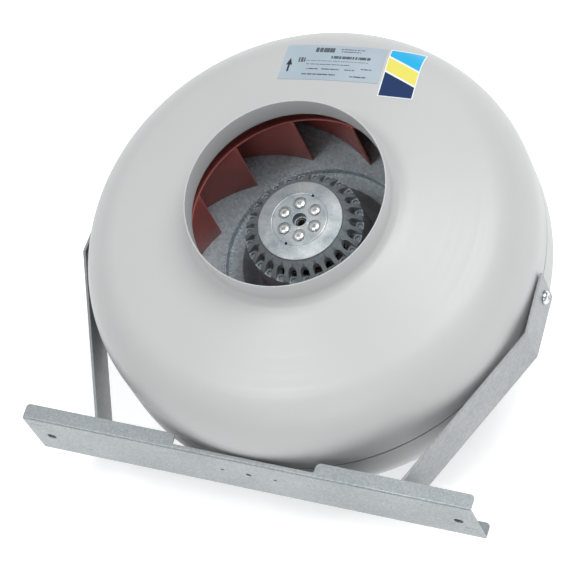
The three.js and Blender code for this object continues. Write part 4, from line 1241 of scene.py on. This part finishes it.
def make_small_screws():
    for number, angle in enumerate(spaced(4, math.pi / 4), start=1):
        place = on_circle(PLATE_SCREW_CIRCLE, angle) @ Matrix.Translation((0, 0, PLATE_BOTTOM - GAP))
        length = FLANGE_TOP - 1.5 - PLATE_BOTTOM
        made = screw(f"impeller_screw_{number}_pan", 3.8, 2.0, SMALL_SHANK, length, place)
        dress(made, "impeller", "zinc", [f"impeller_screw_{number}"])
    for number, angle in enumerate(MOTOR_SCREW_ANGLES, start=1):
        place = on_circle(MOTOR_SCREW_CIRCLE, angle) @ Matrix.Translation((0, 0, SUPPORT_BOTTOM - GAP))
        length = STATOR_FLANGE_TOP - 1 - SUPPORT_BOTTOM
        made = screw(f"motor_screw_{number}_pan", 4.0, 2.6, SMALL_SHANK, length, place)
        dress(made, "housing", "zinc", [f"motor_screw_{number}"])


make_small_screws()
print("screws and rivets made")

# %% [markdown]
# ## Motor mounting
#
# The still half of the motor is a cast flange with a tube that holds both bearings. It is screwed to a
# plate with three bent legs, and each leg is riveted to the rear shell. The bends are round, as a press
# brake leaves them, so the strip's middle line gets an arc at each bend before it is made thick.

# %% Bent strips
def strip_outline(line, sheet, bend):
    """The closed outline of a bent sheet that follows a line of (x, y), with round bends."""
    path = [Vector(line[0])]
    for before, here, after in zip(line, line[1:], line[2:]):
        here = Vector(here)
        back, on = (Vector(before) - here).normalized(), (Vector(after) - here).normalized()
        half = back.angle(on) / 2
        reach = bend / math.tan(half)
        centre = here + (back + on).normalized() * (bend / math.sin(half))
        start, end = here + back * reach - centre, here + on * reach - centre
        turn = start.angle_signed(end)
        for k in range(9):
            path.append(centre + Matrix.Rotation(-turn * k / 8, 2) @ start)
    path.append(Vector(line[-1]))
    sides = []
    for i, point in enumerate(path):
        along = (path[min(i + 1, len(path) - 1)] - path[max(i - 1, 0)]).normalized()
        sides.append((point, Vector((-along.y, along.x)) * sheet / 2))
    return [tuple(p + n) for p, n in sides] + [tuple(p - n) for p, n in reversed(sides)]


def fuse(made, others):
    """Joins other closed shapes to one."""
    for other in others:
        step = made.modifiers.new("join", "BOOLEAN")
        step.operation = "UNION"
        step.solver = "EXACT"
        step.object = other
    applied(made)
    for other in others:
        bpy.data.objects.remove(other)
    tidy(made)
    return made


def on_rear_cone(radius, angle):
    """A place on the rear cone, its Z pointing out of the face."""
    x, y = math.cos(angle), math.sin(angle)
    out = Vector((x * math.sin(FACE_SLOPE), y * math.sin(FACE_SLOPE), -math.cos(FACE_SLOPE)))
    along = Vector((-y, x, 0))
    across = out.cross(along)
    place = Matrix((along, across, out)).transposed().to_4x4()
    place.translation = polar(radius, angle, -cone_height(radius))
    return TO_FAN @ place

# %% [markdown]
# Three legs reach from a round plate to the rear shell. Each leg is one bent strip, pushed to its width
# and turned into place, and all three are joined to the plate before the holes are cut.

# %% Motor support
LEG_WIDTH = 28.0
LEG_LIFT = 0.8
SUPPORT_RADIUS, SUPPORT_HOLE = 46.0, 12.0
LEG_BEND = 52.0
LEG_ANGLES = spaced(3, math.pi / 2)
LEG_RIVET_CIRCLE = (CONE_START[0] + COLLAR_RADIUS + COLLAR_FILLET) / 2
LEG_FOOT, LEG_END = LEG_RIVET_CIRCLE - 11, LEG_RIVET_CIRCLE + 11
LEAD_CIRCLE = 26.0
LEAD_ANGLES = (math.radians(60), math.radians(5))


def rear_inner(radius):
    """Height of the rear shell's inner face on its cone."""
    return SHELL_WALL / math.cos(FACE_SLOPE) - cone_height(radius)


def make_motor_support():
    lift = (LEG_LIFT + SUPPORT_SHEET / 2) / math.cos(FACE_SLOPE)
    middle = (SUPPORT_TOP + SUPPORT_BOTTOM) / 2
    line = [(SUPPORT_RADIUS / 2, middle), (LEG_BEND, middle), (LEG_FOOT, rear_inner(LEG_FOOT) + lift),
            (LEG_END, rear_inner(LEG_END) + lift)]
    outline = strip_outline(line, SUPPORT_SHEET, 4.0)
    upright = Matrix.Rotation(math.pi / 2, 4, "X")
    legs = [prism("leg", outline, -LEG_WIDTH / 2, LEG_WIDTH / 2, turned(a) @ upright) for a in LEG_ANGLES]
    plate = fuse(cylinder(SUPPORT_RADIUS, SUPPORT_BOTTOM, SUPPORT_TOP, steps=96), legs)
    plate.name = "motor_support_pressed"
    through = (SUPPORT_BOTTOM - 1, SUPPORT_TOP + 1)
    holes = [cylinder(SUPPORT_HOLE, *through, steps=48)]
    holes += [cylinder(SMALL_HOLE, *through, on_circle(MOTOR_SCREW_CIRCLE, a), 20)
              for a in MOTOR_SCREW_ANGLES]
    holes += [cylinder(LEAD_HOLE, *through, on_circle(LEAD_CIRCLE, a), 20) for a in LEAD_ANGLES]
    holes += [cylinder(SMALL_HOLE, -8, 8, on_rear_cone(LEG_RIVET_CIRCLE, a), 20) for a in LEG_ANGLES]
    carve(plate, [merged("holes", holes)])
    soften(plate, 0.3, 2, 50.0)
    dress(even(plate), "housing", "galvanised_steel", ["motor_support"])


make_motor_support()
print("legs:", len(LEG_ANGLES), "riveted at radius", round(LEG_RIVET_CIRCLE, 1), "mm")

# %% [markdown]
# The flange and its tube are one casting. A bearing hides nearly all of itself, so two races with a
# shield between them, made as the steps of one profile, are enough. Blind rivets hold the legs.

# %% Stator flange, bearings and shell rivets
TUBE_RADIUS, TUBE_BORE, CORE_TOP = 10.0, 8.0, 38.0
BEARING_WIDTH = 7.0


def make_stator_flange():
    profile = [(TUBE_BORE, STATOR_FLANGE_BOTTOM), (42.0, STATOR_FLANGE_BOTTOM), (42.0, STATOR_FLANGE_TOP),
               (TUBE_RADIUS, STATOR_FLANGE_TOP), (TUBE_RADIUS, CORE_TOP - 1), (TUBE_BORE, CORE_TOP - 1)]
    flange = lathe("stator_flange_cast", rounded(profile, 0.8, 3), 96)
    low = STATOR_FLANGE_BOTTOM - 1
    holes = [cylinder(LEAD_HOLE, low, STATOR_FLANGE_TOP + 1, on_circle(LEAD_CIRCLE, a), 24)
             for a in LEAD_ANGLES]
    holes += [cylinder(SMALL_HOLE, low, STATOR_FLANGE_TOP - 0.7, on_circle(MOTOR_SCREW_CIRCLE, a), 20)
              for a in MOTOR_SCREW_ANGLES]
    carve(flange, [merged("holes", holes)])
    dress(even(flange), "housing", "cast_aluminium", ["stator_flange"])


def make_bearing(name, bottom):
    """Two races and the shield between them, as the steps of one profile."""
    top, inner, outer = bottom + BEARING_WIDTH, SHAFT_RADIUS + 0.08, TUBE_BORE - GAP
    side = [(outer, top - 0.3), (outer - 0.3, top), (outer - 0.9, top), (outer - 1.0, top - 0.35),
            (inner + 0.9, top - 0.35), (inner + 0.8, top), (inner + 0.2, top), (inner, top - 0.3)]
    low = [(inner, bottom + 0.3), (inner + 0.2, bottom), (inner + 0.8, bottom), (inner + 0.9, bottom + 0.35),
           (outer - 1.0, bottom + 0.35), (outer - 0.9, bottom), (outer - 0.3, bottom), (outer, bottom + 0.3)]
    dress(lathe(f"{name}_races", side + low, 64), "housing", "steel", [name])


def shell_rivet(name, inner_face, place):
    """A blind rivet: a domed head outside the shell, its shank, and the formed end inside."""
    head = [(0.0, 1.2), (0.9, 1.2), (1.0, 1.5), (2.4, 1.35), (3.5, 0.8), (4.0, GAP), (SMALL_SHANK, GAP)]
    formed = [(SMALL_SHANK, -GAP), (3.4, -GAP), (3.2, -1.0), (2.4, -1.5), (0.0, -1.5)]
    profile = head + [(r, inner_face + z) for r, z in formed]
    dress(lathe(f"{name}_set", profile, 32, place), "housing", "steel", [name])


make_stator_flange()
make_bearing("bearing_front", CORE_TOP - 2 - BEARING_WIDTH)
make_bearing("bearing_rear", STATOR_FLANGE_BOTTOM + 2.5)
leg_face = -SHELL_WALL - LEG_LIFT - SUPPORT_SHEET
for number, angle in enumerate(LEG_ANGLES, start=1):
    shell_rivet(f"support_rivet_{number}", leg_face, on_rear_cone(LEG_RIVET_CIRCLE, angle))
print("motor mounting made")

# %% [markdown]
# ## Capacitor, gland and leads
#
# The run capacitor is a plastic can with a step at each end, held in a clip beside the wall. The mains
# lead would enter through the black gland on the rear face, so the motor's lead runs to it.

# %% Capacitor, gland, nut
CAPACITOR_RADIUS, CAPACITOR_LENGTH = 13.0, 50.0
CAPACITOR_ANGLE = math.radians(15)
CAPACITOR_CIRCLE = HOUSING_RADIUS - 27.5
CAPACITOR_HEIGHT = -BAND_HALF - 20.5
GLAND_CIRCLE, GLAND_ANGLE = CONE_START[0] - 11.2, math.radians(68)
CLIP_SHEET = 1.0
BESIDE_WALL = (
    TO_FAN
    @ Matrix.Rotation(CAPACITOR_ANGLE, 4, "Z")
    @ Matrix.Translation((CAPACITOR_CIRCLE, 0, CAPACITOR_HEIGHT))
    @ Matrix.Rotation(-math.pi / 2, 4, "X")
)


def make_capacitor():
    half, r = CAPACITOR_LENGTH / 2, CAPACITOR_RADIUS
    profile = [(0.0, -half), (r - 1.2, -half), (r, -half + 1.2), (r, half - 3), (r - 0.5, half - 2.6),
               (r - 0.5, half - 2.0), (r, half - 1.6), (r - 0.4, half), (4.4, half), (4.0, half + 0.4),
               (4.0, half + 3.5), (3.6, half + 4), (0.0, half + 4)]
    dress(lathe("run_capacitor_can", profile, 64, BESIDE_WALL), "housing", "grey_plastic", ["run_capacitor"])


def hexagon(name, radius, bottom, top, place):
    return prism(name, [tuple(polar(radius, a).xy) for a in spaced(6)], bottom, top, place)


def make_gland():
    """A dome nut over a hexagon and a neck, with the hole for the cord."""
    place = on_rear_cone(GLAND_CIRCLE, GLAND_ANGLE)
    dome = [(0.0, 5.0), (8.0, 5.0), (8.0, 11.0), (7.4, 13.2), (6.6, 15.0), (5.6, 16.0), (0.0, 16.0)]
    neck = cylinder(6.0, -10, 3, place, 48)
    body = fuse(neck, [hexagon("hex", 10.0, GAP, 6.0, place), lathe("dome", dome, 48, place)])
    body.name = "cable_gland_moulded"
    carve(body, [cylinder(3.6, -11, 17, place, 32)])
    soften(body, 0.4, 2, 40.0)
    dress(even(body), "housing", "black_plastic", ["cable_gland"])
    nut = hexagon("gland_nut_moulded", 9.5, -SHELL_WALL - 4.4, -SHELL_WALL - GAP, place)
    carve(nut, [cylinder(6.3, -10, 1, place, 48)])
    soften(nut, 0.4, 2, 40.0)
    dress(even(nut), "housing", "black_plastic", ["gland_nut"])


make_capacitor()
make_gland()
clip_face = -SHELL_WALL - LEG_LIFT - CLIP_SHEET
shell_rivet("clip_rivet", clip_face, on_rear_cone(GLAND_CIRCLE - 2, CAPACITOR_ANGLE))
print("capacitor and gland made")

# %% [markdown]
# ## Bracket
#
# The base is one sheet folded into a shallow channel. Its raised sides are cut down to a lip in the
# middle, where the housing comes close. Each arm is a strip that is bent twice: along the channel, up
# past the housing, and straight again at the pivot. A press joins each arm to the base without a rivet,
# and leaves two marks side by side at each of these clinched spots.
#
# A folded sheet is made here as a section that is pushed along its length, then cut. Only its rounded
# edges should shade, so `even` lets each large face keep its own direction.

# %% Base channel
BASE_FACE = -(HOUSING_RADIUS + 6.0)
BASE_SHEET = 1.5
BASE_HALF = HOUSING_RADIUS + 4.7
BASE_FRONT, BASE_BACK = 17.0, -38.0
FLANGE_TIP, LIP_TIP = BASE_FACE + 12.0, BASE_FACE + 4.0
CUT_HALF = math.sqrt((HOUSING_RADIUS + 3.1) ** 2 - FLANGE_TIP**2)
BEND_RADIUS = 1.8
END_CORNER = 3.0
LIP_CORNER = 4.0
END_HOLE = (BASE_HALF - 14.9, BASE_FRONT - 27.5, 3.6)
SMALL_HOLES = [(20.9, BASE_FRONT - 22.5, 1.4), (-20.9, BASE_FRONT - 22.5, 1.4), (0.0, BASE_FRONT - 22.5, 2.1)]
CLINCHES = [(-167.7, 7.2), (-135.1, -22.3), (135.1, 7.2), (167.7, -22.3)]
CLINCH_RADIUS, CLINCH_SHIFT, CLINCH_DEPTH, CLINCH_TILT = 2.2, 2.6, 1.0, math.radians(25)


def channel_section():
    """The channel's section in (height above the base, z): outside, tips, inside, with round bends."""
    r, inner = BEND_RADIUS, BEND_RADIUS - BASE_SHEET
    front, back, face = BASE_FRONT, BASE_BACK, BASE_FACE
    outside = [(FLANGE_TIP, front)]
    outside += [(face + r + p[0], front - r + p[1]) for p in arc((0, 0), r, math.pi / 2, math.pi, 6)]
    outside += [(face + r + p[0], back + r + p[1]) for p in arc((0, 0), r, math.pi, 1.5 * math.pi, 6)]
    outside += [(FLANGE_TIP, back), (FLANGE_TIP, back + BASE_SHEET)]
    inside = [(face + r + p[0], back + r + p[1]) for p in arc((0, 0), inner, 1.5 * math.pi, math.pi, 6)]
    inside += [(face + r + p[0], front - r + p[1]) for p in arc((0, 0), inner, math.pi, math.pi / 2, 6)]
    return outside + inside + [(FLANGE_TIP, front - BASE_SHEET)]


def flange_cutters():
    """What is cut from the raised sides: the middle with round corners, and the corner at each end."""
    deep = (BASE_BACK - 5, BASE_FRONT + 5)
    right = [(CUT_HALF + LIP_CORNER, FLANGE_TIP + 1)]
    right += arc((CUT_HALF + LIP_CORNER, FLANGE_TIP - LIP_CORNER), LIP_CORNER, math.pi / 2, math.pi, 8)
    right += arc((CUT_HALF - 1.5, LIP_TIP + 1.5), 1.5, 0, -math.pi / 2, 5)
    middle = right + [(-x, y) for x, y in reversed(right)]
    cutters = [prism("middle", middle, *deep)]
    for side in (1, -1):
        corner = [(BASE_HALF + 1, FLANGE_TIP + 1), (BASE_HALF + 1, FLANGE_TIP - END_CORNER)]
        corner += arc((BASE_HALF - END_CORNER, FLANGE_TIP - END_CORNER), END_CORNER, 0, math.pi / 2, 6)
        corner += [(BASE_HALF - END_CORNER, FLANGE_TIP + 1)]
        cutters.append(prism("corner", [(side * x, y) for x, y in corner], *deep))
    return cutters


THROUGH_WEB = Matrix.Rotation(math.pi / 2, 4, "X")


def web_cylinder(x, z, radius, depth, steps=32):
    """A cutter through the web, or only into its outer face."""
    place = TO_FAN @ Matrix.Translation((x, BASE_FACE + depth, z)) @ THROUGH_WEB
    return cylinder(radius, 0, depth + 2, place, steps)


def clinch_cutters(x, z):
    """A clinch shows from outside as two shallow pockets, deep on the +Z side and running out below."""
    tilt = Matrix.Rotation(-CLINCH_TILT, 4, "X")
    middle = BASE_FACE + CLINCH_DEPTH - CLINCH_RADIUS * math.sin(CLINCH_TILT)
    pockets = []
    for shift in (-CLINCH_SHIFT, CLINCH_SHIFT):
        place = TO_FAN @ Matrix.Translation((x + shift, middle, z)) @ THROUGH_WEB @ tilt
        pockets.append(cylinder(CLINCH_RADIUS, 0, 3, place, 24))
    return pockets


def make_base_channel():
    across = Matrix(((0, 0, 1, 0), (1, 0, 0, 0), (0, 1, 0, 0), (0, 0, 0, 1)))
    channel = prism("base_channel_folded", channel_section(), -BASE_HALF, BASE_HALF, TO_FAN @ across)
    holes = [web_cylinder(side * END_HOLE[0], END_HOLE[1], END_HOLE[2], 4) for side in (1, -1)]
    holes += [web_cylinder(x, z, radius, 4, 20) for x, z, radius in SMALL_HOLES]
    pockets = [part for spot in CLINCHES for part in clinch_cutters(*spot)]
    carve(channel, [merged("cuts", parts) for parts in (flange_cutters(), holes, pockets)], 30.0)
    soften(channel, 0.2, 1, 60.0)
    dress(even(channel), "bracket", "galvanised_steel", ["base_channel"], BASE_ZINC)


print("sides of the base cut down over", round(2 * CUT_HALF, 1), "mm")

# %% [markdown]
# An arm is a bent line in the plane across the fan, made thick, and its width runs along the fan axis.
# The screw at its straight top end is the pivot, so its place follows from the arm's own slope.

# %% Arms
ARM_SHEET, ARM_WIDTH = 2.0, 40.0
ARM_FRONT = BASE_FRONT - BASE_SHEET - GAP
ARM_SLOPE = math.radians(23.5)
ARM_KINK, ARM_TOP = 37.0, 11.3
PIVOT_HEIGHT, PIVOT_Z = 1.2, ARM_FRONT - ARM_WIDTH / 2
FOOT_Y = BASE_FACE + BASE_SHEET + GAP + ARM_SHEET / 2
ARM_TOP_X = HOUSING_RADIUS + 2.0


def slope_x(y):
    """X of the middle of an arm's sloping part at a height."""
    return (HOUSING_RADIUS + 4.7 + y * math.sin(ARM_SLOPE)) / math.cos(ARM_SLOPE)


ARM_LINE = [
    (BASE_HALF - 3.7, FOOT_Y),
    (slope_x(FOOT_Y), FOOT_Y),
    (slope_x(-ARM_KINK), -ARM_KINK),
    (ARM_TOP_X, ARM_TOP),
]
ARM_LEAN = (slope_x(-ARM_KINK) - ARM_TOP_X) / (ARM_TOP + ARM_KINK)
PIVOT_X = ARM_TOP_X + ARM_LEAN * (ARM_TOP - PIVOT_HEIGHT)
PIVOT_HOLE, PIVOT_HEAD = 2.65, 5.2
UNDER_HEAD = PIVOT_X + ARM_SHEET / 2 + PIVOT_HEAD * ARM_LEAN + GAP / 2
SHANK_END = HOUSING_RADIUS - SHELL_WALL - GAP - LAP_WALL - 2 * GAP - 0.2 - 9 - 2


def pivot_place(x, side):
    """A place on the pivot axis at a distance from the fan axis, its Z pointing inwards."""
    turn = Matrix.Rotation(-side * math.pi / 2, 4, "Y")
    return TO_FAN @ Matrix.Translation((side * x, PIVOT_HEIGHT, PIVOT_Z)) @ turn


def make_arm(word, side):
    outline = [(side * x, y) for x, y in strip_outline(ARM_LINE, ARM_SHEET, 3.0)]
    arm = prism(f"{word}_arm_bent", outline, ARM_FRONT - ARM_WIDTH, ARM_FRONT)
    carve(arm, [cylinder(PIVOT_HOLE, -6, 10, pivot_place(PIVOT_X, side), 32)], 30.0)
    soften(arm, 0.3, 2, 60.0)
    dress(even(arm), "bracket", "galvanised_steel", [f"{word}_arm"], ARM_ZINC)


def make_pivot_screw(word, side):
    length = UNDER_HEAD - SHANK_END
    place = pivot_place(UNDER_HEAD, side)
    made = screw(f"pivot_screw_{word}_pan", PIVOT_HEAD, 3.2, 2.5, length, place)
    dress(made, "housing", "zinc", [f"pivot_screw_{word}"], SCREW_ZINC)


print("pivot", round(PIVOT_X, 1), "mm from the fan axis")

# %% [markdown]
# The bracket's three sheets come from different coils, so the arms are a little plainer than the base.

# %% The bracket put together
BASE_ZINC = galvanised("base_zinc", grey(0.33, (0.92, 1.0, 1.03)), grey(0.56, (0.95, 1.0, 1.02)), 900.0, 0.5)
ARM_ZINC = galvanised("arm_zinc", grey(0.33, (0.96, 1.0, 1.03)), grey(0.5, (0.98, 1.0, 1.02)), 500.0, 0.3)
SCREW_ZINC = plain_metal("screw_zinc", grey(0.6), grey(0.8), 0.14)
make_base_channel()
for word, side in (("right", 1), ("left", -1)):
    make_arm(word, side)
    make_pivot_screw(word, side)
print("bracket made; channel half length", BASE_HALF)

# %% [markdown]
# ## What stays as it is
#
# The inside of the motor, the leads, the clip and the two nuts keep their solids. They get a finish, a
# weld to close their seams and a small bevel, so that their edges are as soft as a real piece's.

# %% Finishes of the kept solids
KEPT = {
    "stator_core": "steel",
    "rotor_cage": "steel",
    "shaft_hub": "steel",
    "winding_front": "copper_winding",
    "winding_rear": "copper_winding",
    "capacitor_clip": "galvanised_steel",
    "motor_lead": "black_plastic",
    "capacitor_lead": "black_plastic",
    "rivet_nut_left": "zinc",
    "rivet_nut_right": "zinc",
}
LEADS = ("motor_lead", "capacitor_lead")


def finish_kept(name, finish):
    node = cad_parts[name]
    if not node.material_slots:
        node.data.materials.append(None)
    for material_slot in node.material_slots:
        material_slot.material = FINISHES[finish]
    weld = node.modifiers.new("weld", "WELD")
    weld.merge_threshold = 1e-6
    edge = node.modifiers.new("edge", "BEVEL")
    edge.width = (0.25 if name not in LEADS else 0.5) * MM
    edge.segments = 2
    edge.limit_method = "ANGLE"
    edge.angle_limit = math.radians(30 if name not in LEADS else 12)


for name, finish in KEPT.items():
    finish_kept(name, finish)
print("kept solids:", len(KEPT))
